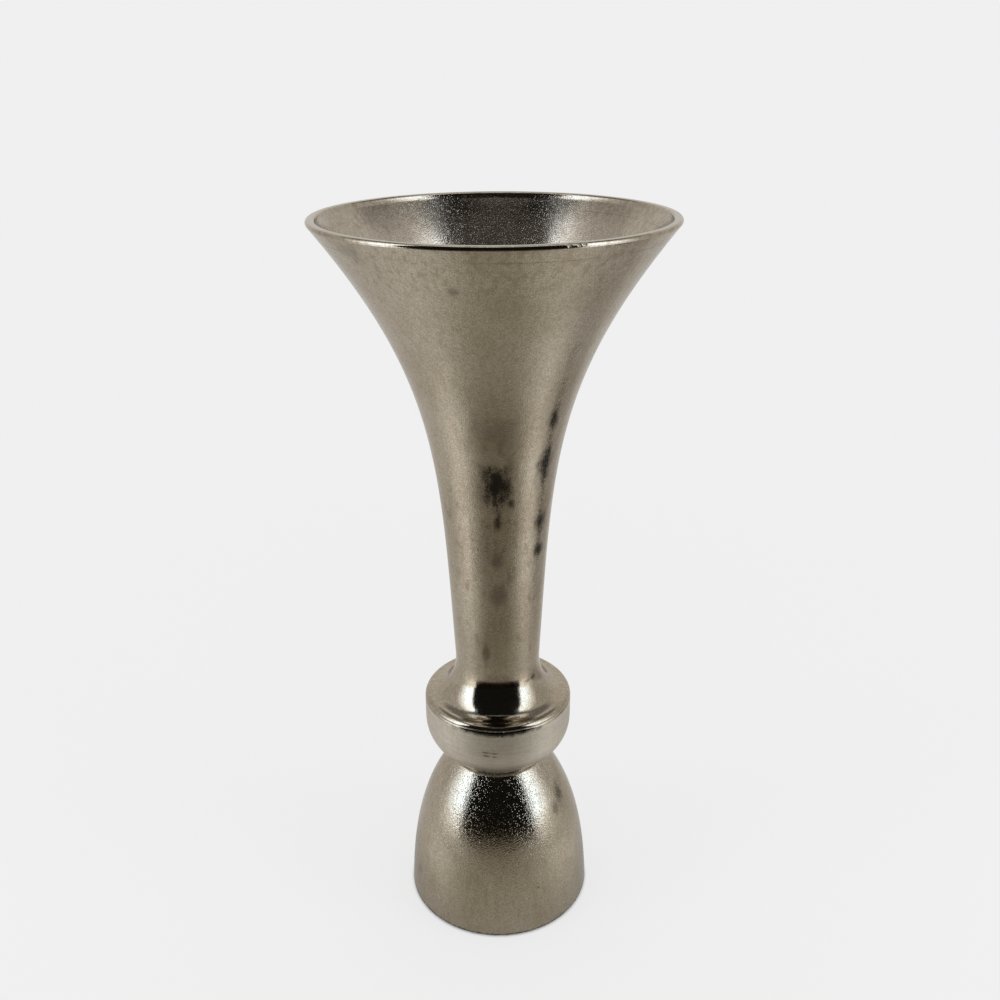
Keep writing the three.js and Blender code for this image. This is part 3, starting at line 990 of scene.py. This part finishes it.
def tarnished_plate(net, level, polish, noise):
    """The plate's colour: pale to tarnished, paler where it is brushed, and stained on the stem."""
    lip_runs = net.product(net.ramp(noise["streaks"], *LIP_RUN_RAMP), net.ramp(level, *LIP_RUN_HEIGHTS))
    shares = [net.ramp(noise[name], *limits) for name, limits in TARNISH_RAMPS.items()]
    tarnish = net.total(*shares, lip_runs)
    plate = net.blend(tarnish, NICKEL_PALE, NICKEL_TARNISHED)
    along_brush = net.product(tarnish, net.ramp(noise["brush_lines"], *BRUSH_LINE_RAMP))
    brushed = net.blend(along_brush, NICKEL_BRUSHED, NICKEL_PALE)
    plate = net.blend(net.ramp(polish, *BRUSHED_RAMP), plate, brushed)
    stained = net.product(net.ramp(level, *STAINED_RISE), net.ramp(level, *STAINED_FADE, 1, 0))
    stains = net.product(stained, net.ramp(noise["blotches"], *STAIN_RAMP))
    return net.blend(stains, plate, STAIN_COLOUR)


def marked_and_shaded_plate(net, plate, point, level, noise, spots):
    """The plate with its dark marks, painted reflections and painted shade from the table, painted shade
    along the foot, the scribed line below the lip, and pits.
    """
    # Each row of the table darkens the plate: marks, painted reflections and painted shade
    for place, size, darkness in MARKS_PAINTED_REFLECTIONS_AND_SHADE:
        plate = net.blend(broken_patch(net, point, noise, place, size, darkness), plate, MARK_REFLECTION_AND_SHADE_COLOUR)
    # Painted shade along the bottom of the base, broken up by the mottle
    foot_shade = net.product(net.ramp(level, *FOOT_SHADE_FADE), net.ramp(noise["mottle"], *FOOT_SHADE_RAMP))
    plate = net.blend(foot_shade, plate, MARK_REFLECTION_AND_SHADE_COLOUR)
    from_line = net.calc("ABSOLUTE", net.minus(level, SCRIBED_HEIGHT))
    scribed = net.product(net.ramp(from_line, *SCRIBED_EDGE), net.ramp(noise["clouds"], *SCRIBED_RAMP))
    plate = net.blend(scribed, plate, PIT_COLOUR)
    pitted = net.calc("MAXIMUM", spots["pits"], net.product(spots["specks"], SPECK_SHARE))
    return net.blend(pitted, plate, PIT_COLOUR)


def mouth_deposit(net, level, rough_cast, noise, spots):
    """How much of the plate is under the pale crumbs and haze that water left in the mouth."""
    held = net.product(net.ramp(rough_cast, *HELD_DEPOSIT_RAMP), net.ramp(level, *DEPOSIT_FADE))
    crumbs = net.product(held, spots["crumbs"], net.ramp(noise["mottle"], *DEPOSIT_RAMP))
    return net.calc("MAXIMUM", crumbs, net.product(held, DEPOSIT_HAZE))


def plate_height(net, polish, grain, lathe, nicks, noise, spots):
    """The plate's bump: waves and cast grain, brushing, lathe marks, pits and nicks."""
    cast_grain = net.total(
        net.product(noise["pebbles"], PEBBLE_HEIGHT),
        net.product(spots["dents"], -DENT_DEPTH),
        net.product(spots["raised_grains"], RAISED_GRAIN_HEIGHT),
    )
    return net.total(
        net.product(noise["waves"], net.ramp(grain, *WAVE_RAMP)),
        net.product(cast_grain, grain),
        net.product(noise["micro"], net.ramp(polish, *MICRO_RAMP)),
        net.product(net.ring_lines(LATHE_PITCH), lathe, LATHE_HEIGHT),
        net.product(spots["pits"], -PIT_DEPTH),
        net.product(nicks, -NICK_DEPTH),
    )


def nickel_plate():
    """Warm nickel over cast aluminium: satin, polished, pebbled or rough, as the stored finish says."""
    material, net, shader = shaded_material("nickel_plate")
    finish = net.add("ShaderNodeAttribute", attribute_name="finish").outputs["Vector"]
    polish, grain, rough_cast = net.parts(finish)
    lathe = net.add("ShaderNodeAttribute", attribute_name="lathe_marks").outputs["Fac"]
    point = net.object_point()
    level = net.parts(point)["Z"]
    noise = {name: net.noise(**values) for name, values in PLATE_NOISE.items()}
    spots = {name: net.spots(**values) for name, values in PLATE_SPOTS.items()}
    nicks = net.total(*[broken_patch(net, point, noise, place, NICK_SIZE) for place in LIP_NICKS])

    plate = tarnished_plate(net, level, polish, noise)
    plate = marked_and_shaded_plate(net, plate, point, level, noise, spots)
    skin = net.blend(net.ramp(noise["mottle"], *CAST_SKIN_RAMP), CAST_PALE, CAST_DARK)
    metal = net.blend(rough_cast, plate, skin)
    deposit = mouth_deposit(net, level, rough_cast, noise, spots)
    worn = net.total(
        net.ramp(polish, *POLISH_ROUGHNESS_RAMP),
        net.ramp(noise["clouds"], *CLOUD_ROUGHNESS_RAMP),
        net.ramp(noise["streaks"], *STREAK_ROUGHNESS_RAMP),
        net.product(nicks, NICK_SCUFF),
    )
    height = plate_height(net, polish, grain, lathe, nicks, noise, spots)
    net.link(net.blend(deposit, metal, DEPOSIT_COLOUR), shader["Base Color"])
    net.link(net.minus(1.0, deposit), shader["Metallic"])
    net.link(worn, shader["Roughness"])
    net.link(net.bump(height), shader["Normal"])
    shader["Specular Tint"].default_value = NICKEL_EDGE_TINT
    return material


ZINC_BRIGHT = (0.62, 0.64, 0.66, 1)
ZINC_DULL = (0.42, 0.43, 0.43, 1)
ZINC_STAIN = (0.50, 0.44, 0.30, 1)
ZINC_DULL_RAMP = (0.35, 0.7)
ZINC_STAIN_RAMP = (0.55, 0.75, 0, 0.6)
ZINC_ROUGHNESS_RAMP = (0.25, 0.75, 0.24, 0.42)
ZINC_GRAIN_HEIGHT = 0.02
ZINC_LINE_HEIGHT = 0.004
ZINC_LINE_PITCH = 0.4


def zinc_plate():
    """Bright zinc on steel, dulled in patches and stained yellowish here and there."""
    material, net, shader = shaded_material("zinc_plate")
    clouds = net.noise(size=7, detail=3, seed=11)
    specks = net.noise(size=0.6, seed=12)
    stains = net.noise(size=12, seed=13)
    zinc = net.blend(net.ramp(clouds, *ZINC_DULL_RAMP), ZINC_BRIGHT, ZINC_DULL)
    height = net.total(
        net.product(specks, ZINC_GRAIN_HEIGHT),
        net.product(net.ring_lines(ZINC_LINE_PITCH), ZINC_LINE_HEIGHT),
    )
    net.link(net.blend(net.ramp(stains, *ZINC_STAIN_RAMP), zinc, ZINC_STAIN), shader["Base Color"])
    net.link(net.ramp(clouds, *ZINC_ROUGHNESS_RAMP), shader["Roughness"])
    net.link(net.bump(height), shader["Normal"])
    shader["Metallic"].default_value = 1.0
    return material


SPRING_BLUE = (0.085, 0.09, 0.105, 1)
SPRING_BROWN = (0.12, 0.095, 0.07, 1)
SPRING_TEMPER_RAMP = (0.4, 0.7)
SPRING_ROUGHNESS_RAMP = (0.3, 0.7, 0.28, 0.46)
SPRING_GRAIN_HEIGHT = 0.02


def spring_steel():
    """Dark oiled spring steel with brown patches of the tempering colour."""
    material, net, shader = shaded_material("spring_steel")
    clouds = net.noise(size=5, detail=3, seed=21)
    specks = net.noise(size=0.7, seed=22)
    tempered = net.blend(net.ramp(clouds, *SPRING_TEMPER_RAMP), SPRING_BLUE, SPRING_BROWN)
    net.link(tempered, shader["Base Color"])
    net.link(net.ramp(specks, *SPRING_ROUGHNESS_RAMP), shader["Roughness"])
    net.link(net.bump(net.product(specks, SPRING_GRAIN_HEIGHT)), shader["Normal"])
    shader["Metallic"].default_value = 1.0
    return material


FELT_GREY = (0.030, 0.029, 0.026, 1)
FELT_PALE = (0.070, 0.067, 0.060, 1)
FELT_LINT_RAMP = (0.45, 0.75)
FELT_ROUGHNESS_RAMP = (0.3, 0.7, 0.98, 0.88)
FELT_SHEEN = 0.25
FELT_LINT_HEIGHT = 0.15


def felt():
    """Pressed wool felt: matt, with short pale fibres lying both ways."""
    material, net, shader = shaded_material("felt")
    fibres = net.noise(size=0.35, detail=4, stretch=(1, 0.25, 1), seed=31)
    other_fibres = net.noise(size=0.35, detail=4, stretch=(0.25, 1, 1), seed=32)
    lint = net.calc("MAXIMUM", fibres, other_fibres)
    net.link(net.blend(net.ramp(lint, *FELT_LINT_RAMP), FELT_GREY, FELT_PALE), shader["Base Color"])
    net.link(net.ramp(lint, *FELT_ROUGHNESS_RAMP), shader["Roughness"])
    net.link(net.bump(net.product(lint, FELT_LINT_HEIGHT)), shader["Normal"])
    shader["Sheen Weight"].default_value = FELT_SHEEN
    return material


# Pieces


def outline_mesh(name, points):
    """A line of vertices in the XZ plane that carries the finish of each point."""
    mesh = bpy.data.meshes.new(name)
    places = [(radius * MM, 0, height * MM) for (radius, height), finish in points]
    mesh.from_pydata(places, [(i, i + 1) for i in range(len(places) - 1)], [])
    for attribute, data_type in FINISH_ATTRIBUTES.items():
        mesh.attributes.new(attribute, data_type, "POINT")
    for index, (place, finish) in enumerate(points):
        mesh.attributes["finish"].data[index].vector = finish[:3]
        mesh.attributes["lathe_marks"].data[index].value = finish[3]
    return mesh


def make_piece(name, mesh, tree, values):
    """Runs a geometry tree on a mesh and keeps what it makes as a plain mesh."""
    piece = bpy.data.objects.new(name, mesh)
    bpy.context.scene.collection.objects.link(piece)
    modifier = piece.modifiers.new(tree.name, "NODES")
    modifier.node_group = tree
    for socket in tree.interface.items_tree:
        if socket.in_out == "INPUT" and socket.name in values:
            modifier[socket.identifier] = values[socket.name]
    depsgraph = bpy.context.evaluated_depsgraph_get()
    made = bpy.data.meshes.new_from_object(
        piece.evaluated_get(depsgraph), preserve_all_data_layers=True, depsgraph=depsgraph)
    piece.modifiers.clear()
    piece.data = made
    return piece


def turn_piece(name, points, material, sides, across_flats=FAR_ACROSS, unevenness=0.0, seed=0.0):
    """A piece that is turned from its outline, with flats milled on it if they are near enough."""
    return make_piece(name, outline_mesh(name + "_outline", points), turned_tree, {
        "Sides": sides,
        "Flats": FLAT_COUNT,
        "Across Flats": across_flats,
        "Unevenness": unevenness,
        "Wave Length": WAVE_LENGTH,
        "Seed": seed,
        "Material": material,
    })


def dress(piece, slot, *nodes):
    """Fixes a piece to the body and hides the solids that it stands for; the slot argument is not used."""
    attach(piece, BODY)
    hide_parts(*nodes)


turned_tree = turned_piece_tree()
nickel = nickel_plate()
zinc = zinc_plate()

castings = {"trumpet": trumpet_outline(), "knop": knop_outline(), "base_bell": base_outline()}
for number, (node, points) in enumerate(castings.items()):
    casting = turn_piece(
        "cast_" + node, points, nickel, CASTING_SIDES, unevenness=CASTING_UNEVENNESS, seed=float(number))
    dress(casting, "nickel_plated_casting", node)

dress(turn_piece("plated_washer", washer_outline(), zinc, SMALL_SIDES), "zinc_plated_steel", "crown_washer")

nut = turn_piece("plated_nut", nut_outline(), zinc, SMALL_SIDES, across_flats=NUT_FLATS * MM)
nut.data.set_sharp_from_angle(angle=math.radians(NUT_CREASE_DEG))
dress(nut, "zinc_plated_steel", "clamp_nut")

rod = make_piece("threaded_rod", bpy.data.meshes.new("rod_seed"), threaded_rod_tree(), {
    "Low": ROD_LOW_Z * MM,
    "Length": (ROD_TOP_Z - ROD_LOW_Z) * MM,
    "Radius": ROD_RADIUS * MM,
    "Pitch": THREAD_PITCH * MM,
    "Depth": THREAD_DEPTH * MM,
    "Chamfer": ROD_CHAMFER * MM,
    "Sides": SMALL_SIDES,
    "Rows Per Turn": ROWS_PER_TURN,
    "Material": zinc,
})
dress(rod, "zinc_plated_steel", "tie_rod")

spring = make_piece("split_washer", bpy.data.meshes.new("spring_seed"), bent_bar_tree(), {
    "Ring Radius": (ROD_HOLE_RADIUS + SPRING_RING_WIDTH / 2) * MM,
    "Width": SPRING_RING_WIDTH * MM,
    "Thickness": (WASHER_LOW_Z - SPRING_LOW_Z) * MM,
    "Edge Radius": SPRING_EDGE_RADIUS * MM,
    "Split": math.radians(SPRING_SPLIT_DEG),
    "Slant": math.radians(SPRING_SLANT_DEG),
    "Middle": (WASHER_LOW_Z + SPRING_LOW_Z) / 2 * MM,
    "Sides": SMALL_SIDES,
    "Material": spring_steel(),
})
dress(spring, "spring_steel", "spring_washer")

feet = make_piece("felt_dots", outline_mesh("felt_outline", felt_outline()), felt_feet_tree(turned_tree), {
    "Count": FELT_COUNT,
    "Ring Radius": FELT_RING_RADIUS * MM,
    "First Angle": math.radians(FELT_FIRST_DEG),
    "Fuzz": FELT_FUZZ,
    "Sides": SMALL_SIDES // 2,
    "Material": felt(),
})
dress(feet, "felt", *[f"felt_foot_{number}" for number in range(1, FELT_COUNT + 1)])

# Stage: a pale floor, two lamps, and cards round the vase that only the metal mirrors

PALE = (0.87, 0.87, 0.87, 1)
FLOOR_SIZE = 60.0
FLOOR_GLOW_NEAR = 0.80
FLOOR_GLOW_REACH = (0.2, 1.0)
FLOOR_CONTACT_REACH = ((FOOT_RADIUS - 1) * MM, (FOOT_RADIUS + 2) * MM)


def only_in_mirrors(thing):
    """Keeps a card out of the camera's view and out of the light."""
    thing.visible_camera = False
    thing.visible_diffuse = False
    thing.visible_transmission = False
    thing.visible_shadow = False


def stage_mesh(name, places, faces, material):
    """A mesh that belongs to the stage and not to the vase."""
    mesh = bpy.data.meshes.new(name)
    mesh.from_pydata(places, [], faces)
    mesh.materials.append(material)
    thing = bpy.data.objects.new(name, mesh)
    bpy.context.scene.collection.objects.link(thing)
    return thing


def level_sheet(name, half_size, height, material):
    """A level square with the vase in its middle."""
    places = [(x * half_size, y * half_size, height) for x, y in ((-1, -1), (1, -1), (1, 1), (-1, 1))]
    return stage_mesh(name, places, [(0, 1, 2, 3)], material)


def distance_and_turn(net):
    """The level distance from the axis, the turn in degrees from the camera's side, and the point's parts."""
    parts = net.parts(net.object_point())
    turn = net.calc("ARCTAN2", net.calc("ABSOLUTE", parts["X"]), net.product(parts["Y"], -1))
    return net.from_axis(parts), net.calc("DEGREES", turn), parts


def floor_material():
    """Pale floor that keeps a shadow near the vase and meets the background without a line."""
    material, net, surface = empty_material("pale_floor")
    distance = net.from_axis(net.parts(net.object_point()))
    # One for rays from the camera, from a mirror or through glass, and zero for light on the scene
    path = net.add("ShaderNodeLightPath").outputs
    seen = net.total(path["Is Camera Ray"], path["Is Glossy Ray"], path["Is Transmission Ray"])
    share = net.total(
        net.ramp(distance, *FLOOR_CONTACT_REACH, 0, FLOOR_GLOW_NEAR),
        net.ramp(distance, *FLOOR_GLOW_REACH, 0, 1 - FLOOR_GLOW_NEAR),
    )
    matt = net.out("ShaderNodeBsdfDiffuse", {"Color": PALE})
    glow = net.out("ShaderNodeEmission", {"Color": PALE, "Strength": 1.0})
    net.link(net.out("ShaderNodeMixShader", {0: net.product(share, seen), 1: matt, 2: glow}), surface)
    return material


# Edges of the black card behind the camera and of the bright panels beside it, in degrees of turn
BLACK_EDGE_DEG = (52, 59)
PANEL_FADE_DEG = (64, 98)

# The floor as the metal mirrors it: a dim lane in front, a darker ring at the foot, and black far in front
LANE_NEAR_TINT = (0.55, 0.54, 0.49, 1)
LANE_FAR_TINT = (0.335, 0.315, 0.265, 1)
LANE_START = (0.02, 0.12)
LANE_FADE = (0.12, 0.40)
LANE_HALF_WIDTH = 0.25
LANE_SPREAD = 1.28
LANE_SIDE = (0.12, 1.0)
RING_REACH = (0.066, 0.14)
RING_LIGHT = (0.62, 0.87)
BLACK_TINT = (0.012, 0.008, 0.006, 1)
BLACK_REACH = (0.48, 0.68)
SHADE_HEIGHT = 0.3 * MM

# Shaded patches of the floor: middle, half the size, and how much of the light they take
PATCH_TINT = (0.10, 0.085, 0.07, 1)
PATCH_EDGE = (0.45, 1.0)
PATCHES = (
    ((0.515, 0.120), (0.055, 0.085), 1.0),
    ((0.60, 0.20), (0.40, 0.42), 0.36),
)

# Pools of light on the floor at both sides: middle, reach and level; the far pool lies under the panels
POOLS = (
    ((0.56, -0.22), 0.38, 0.42),
    ((0.155, -0.06), 0.12, 0.20),
)
FAR_POOL_RAMP = (0.55, 0.9, 0, 1.1)


def panel_share(net, turn):
    """One in the middle of a bright panel, by the turn away from the camera's side."""
    return net.product(net.ramp(turn, *BLACK_EDGE_DEG), net.ramp(turn, *PANEL_FADE_DEG, 1, 0))


def shade_material():
    """A film that only the metal mirrors: it darkens the floor in front, round the foot and in patches."""
    material, net, surface = empty_material("floor_shade")
    distance, turn, parts = distance_and_turn(net)
    ahead = net.product(parts["Y"], -1)
    aside = net.calc("ABSOLUTE", parts["X"])
    half_width = net.calc("MULTIPLY_ADD", net.calc("MAXIMUM", ahead, 0), LANE_SPREAD, LANE_HALF_WIDTH)
    across = net.ramp(net.over(aside, half_width), *LANE_SIDE, 1, 0)
    lane = net.product(across, net.ramp(ahead, *LANE_START))
    lane_tint = net.blend(net.ramp(ahead, *LANE_FADE), LANE_NEAR_TINT, LANE_FAR_TINT)
    light = net.ramp(distance, *RING_REACH, *RING_LIGHT)
    tint = net.blend(lane, net.vector(light, light, light), lane_tint)
    black = net.product(net.ramp(distance, *BLACK_REACH), net.ramp(turn, *BLACK_EDGE_DEG, 1, 0))
    tint = net.blend(black, tint, BLACK_TINT)
    for (x, y), (half_x, half_y), share in PATCHES:
        from_middle = net.vector(
            net.over(net.minus(parts["X"], x), half_x),
            net.over(net.minus(parts["Y"], y), half_y),
        )
        shade = net.ramp(net.length(from_middle), *PATCH_EDGE, share, 0)
        tint = net.blend(shade, tint, PATCH_TINT)
    glow = net.product(panel_share(net, turn), net.ramp(distance, *FAR_POOL_RAMP))
    for (x, y), reach, level in POOLS:
        from_pool = net.vector(net.minus(aside, x), net.minus(parts["Y"], y))
        glow = net.total(glow, net.ramp(net.length(from_pool), 0, reach, level, 0))
    film = net.out("ShaderNodeBsdfTransparent", {"Color": tint})
    pool = net.out("ShaderNodeEmission", {"Strength": glow})
    net.link(net.out("ShaderNodeAddShader", {0: film, 1: pool}), surface)
    return material


SURROUND_RADIUS = 2.0
SURROUND_MIDDLE_Z = 0.2
SURROUND_LOW_DEG = -12
SURROUND_STEPS = 48
SURROUND_TURN_DEG = -3

# Levels of light from the surround, and the turns and rises in degrees between which they change
BLACK_LEVEL = 0.012
BLACK_SPREAD_RAMP = (50, 63, 0, 10)
PANEL_LEVEL = 3.2
PANEL_LOW_TINT = (0.80, 1.0, 1.26, 1)
PANEL_HIGH_TINT = (0.76, 0.88, 1.02, 1)
PANEL_HIGH_DEG = (12, 42)
PLAIN_TINT = (1, 1, 1, 1)
SIDE_LEVEL = 0.66
BACK_LEVEL = 0.85
BACK_FADE_DEG = (115, 150)
OVERHEAD_LEVEL = 0.27
OVERHEAD_FADE_DEG = (53, 62)
OVERHEAD_DROP_RAMP = (95, 130, 0, 14)
CEILING_TURN_DEG = (70, 100)
CEILING_FADE_DEG = (62, 68)
CEILING_FRONT_LEVEL = 0.50
CEILING_BACK_LEVEL = 1.3
CEILING_FRONT_LIFT_DEG = 9


def surround_material():
    """Black behind the camera, a bright panel on either side of it, pale at the back and dim overhead."""
    material, net, surface = empty_material("surround")
    distance, turn, parts = distance_and_turn(net)
    rise = net.calc("DEGREES", net.calc("ARCTAN2", parts["Z"], distance))
    from_black = net.minus(turn, net.ramp(rise, *BLACK_SPREAD_RAMP))
    level = net.total(
        net.ramp(from_black, *BLACK_EDGE_DEG, BLACK_LEVEL, PANEL_LEVEL),
        net.ramp(turn, *PANEL_FADE_DEG, 0, SIDE_LEVEL - PANEL_LEVEL),
        net.ramp(turn, *BACK_FADE_DEG, 0, BACK_LEVEL - SIDE_LEVEL),
    )
    cut = net.minus(level, net.calc("MINIMUM", level, OVERHEAD_LEVEL))
    overhead_rise = net.total(rise, net.ramp(turn, *OVERHEAD_DROP_RAMP))
    dimmed = net.minus(level, net.product(cut, net.ramp(overhead_rise, *OVERHEAD_FADE_DEG)))
    ceiling_level = net.ramp(turn, *CEILING_TURN_DEG, CEILING_FRONT_LEVEL, CEILING_BACK_LEVEL)
    ceiling_rise = net.minus(rise, net.ramp(turn, *CEILING_TURN_DEG, CEILING_FRONT_LIFT_DEG, 0))
    ceiling = net.product(ceiling_level, net.ramp(ceiling_rise, *CEILING_FADE_DEG))
    strength = net.calc("MAXIMUM", dimmed, ceiling)
    panel_tint = net.blend(net.ramp(rise, *PANEL_HIGH_DEG), PANEL_LOW_TINT, PANEL_HIGH_TINT)
    tint = net.blend(panel_share(net, turn), PLAIN_TINT, panel_tint)
    net.link(net.out("ShaderNodeEmission", {"Color": tint, "Strength": strength}), surface)
    return material


def around(azimuth_deg, elevation_deg, distance):
    """A place around the vase; azimuth zero is towards the camera and turns to the right."""
    azimuth = math.radians(azimuth_deg)
    elevation = math.radians(elevation_deg)
    return Vector((
        distance * math.cos(elevation) * math.sin(azimuth),
        -distance * math.cos(elevation) * math.cos(azimuth),
        distance * math.sin(elevation),
    ))


def surround(material):
    """A card bent all round the vase and over it."""
    places = []
    for row in range(SURROUND_STEPS + 1):
        elevation = SURROUND_LOW_DEG + (90 - SURROUND_LOW_DEG) * row / SURROUND_STEPS
        for column in range(SURROUND_STEPS):
            places.append(around(360 * column / SURROUND_STEPS, elevation, SURROUND_RADIUS))
    faces = []
    for row in range(SURROUND_STEPS):
        for column in range(SURROUND_STEPS):
            first = row * SURROUND_STEPS + column
            beside = row * SURROUND_STEPS + (column + 1) % SURROUND_STEPS
            faces.append((first, beside, beside + SURROUND_STEPS, first + SURROUND_STEPS))
    dome = stage_mesh("surround", places, faces, material)
    dome.location = (0, 0, SURROUND_MIDDLE_Z)
    dome.rotation_euler = (0, 0, math.radians(SURROUND_TURN_DEG))
    return dome


LAMP_AZIMUTH_DEG = 68
LAMP_DISTANCE = 1.4
LAMP_WIDTH = 0.67
LAMP_HEIGHT = 1.25
LAMP_MIDDLE_Z = 0.62
LAMP_RADIANCE = 2.25


def lamp(name, azimuth_deg):
    """An upright area lamp that faces the axis of the vase; the surround shows it to the metal."""
    light = bpy.data.lights.new(name, "AREA")
    light.shape = "RECTANGLE"
    light.size = LAMP_WIDTH
    light.size_y = LAMP_HEIGHT
    light.energy = LAMP_RADIANCE * math.pi * LAMP_WIDTH * LAMP_HEIGHT
    thing = bpy.data.objects.new(name, light)
    thing.location = around(azimuth_deg, 0, LAMP_DISTANCE) + Vector((0, 0, LAMP_MIDDLE_Z))
    thing.rotation_euler = (math.pi / 2, 0, math.radians(azimuth_deg))
    thing.visible_camera = False
    thing.visible_glossy = False
    bpy.context.scene.collection.objects.link(thing)


level_sheet("floor", FLOOR_SIZE, 0, floor_material())
only_in_mirrors(level_sheet("floor_shade", SURROUND_RADIUS, SHADE_HEIGHT, shade_material()))
only_in_mirrors(surround(surround_material()))
lamp("left_lamp", -LAMP_AZIMUTH_DEG)
lamp("right_lamp", LAMP_AZIMUTH_DEG)

world = bpy.data.worlds.new("pale_studio")
world.use_nodes = True
background = world.node_tree.nodes["Background"].inputs
background["Color"].default_value = PALE
background["Strength"].default_value = 1.0
bpy.context.scene.world = world
bpy.context.scene.view_settings.view_transform = "Standard"

# Camera at the photograph's place

CAMERA_LENS = 37.32
CAMERA_PLACE = (0, -0.62965, 0.58860)
CAMERA_PITCH_DEG = 23.432
CAMERA_PAN_DEG = -0.2147
CAMERA_ROLL_DEG = -0.342

camera_data = bpy.data.cameras.new("camera")
camera_data.lens = CAMERA_LENS
camera = bpy.data.objects.new("camera", camera_data)
camera.matrix_world = (
    Matrix.Translation(CAMERA_PLACE)
    @ Matrix.Rotation(math.radians(CAMERA_PAN_DEG), 4, "Z")
    @ Matrix.Rotation(math.radians(90 - CAMERA_PITCH_DEG), 4, "X")
    @ Matrix.Rotation(math.radians(CAMERA_ROLL_DEG), 4, "Z")
)
bpy.context.scene.collection.objects.link(camera)
bpy.context.scene.camera = camera
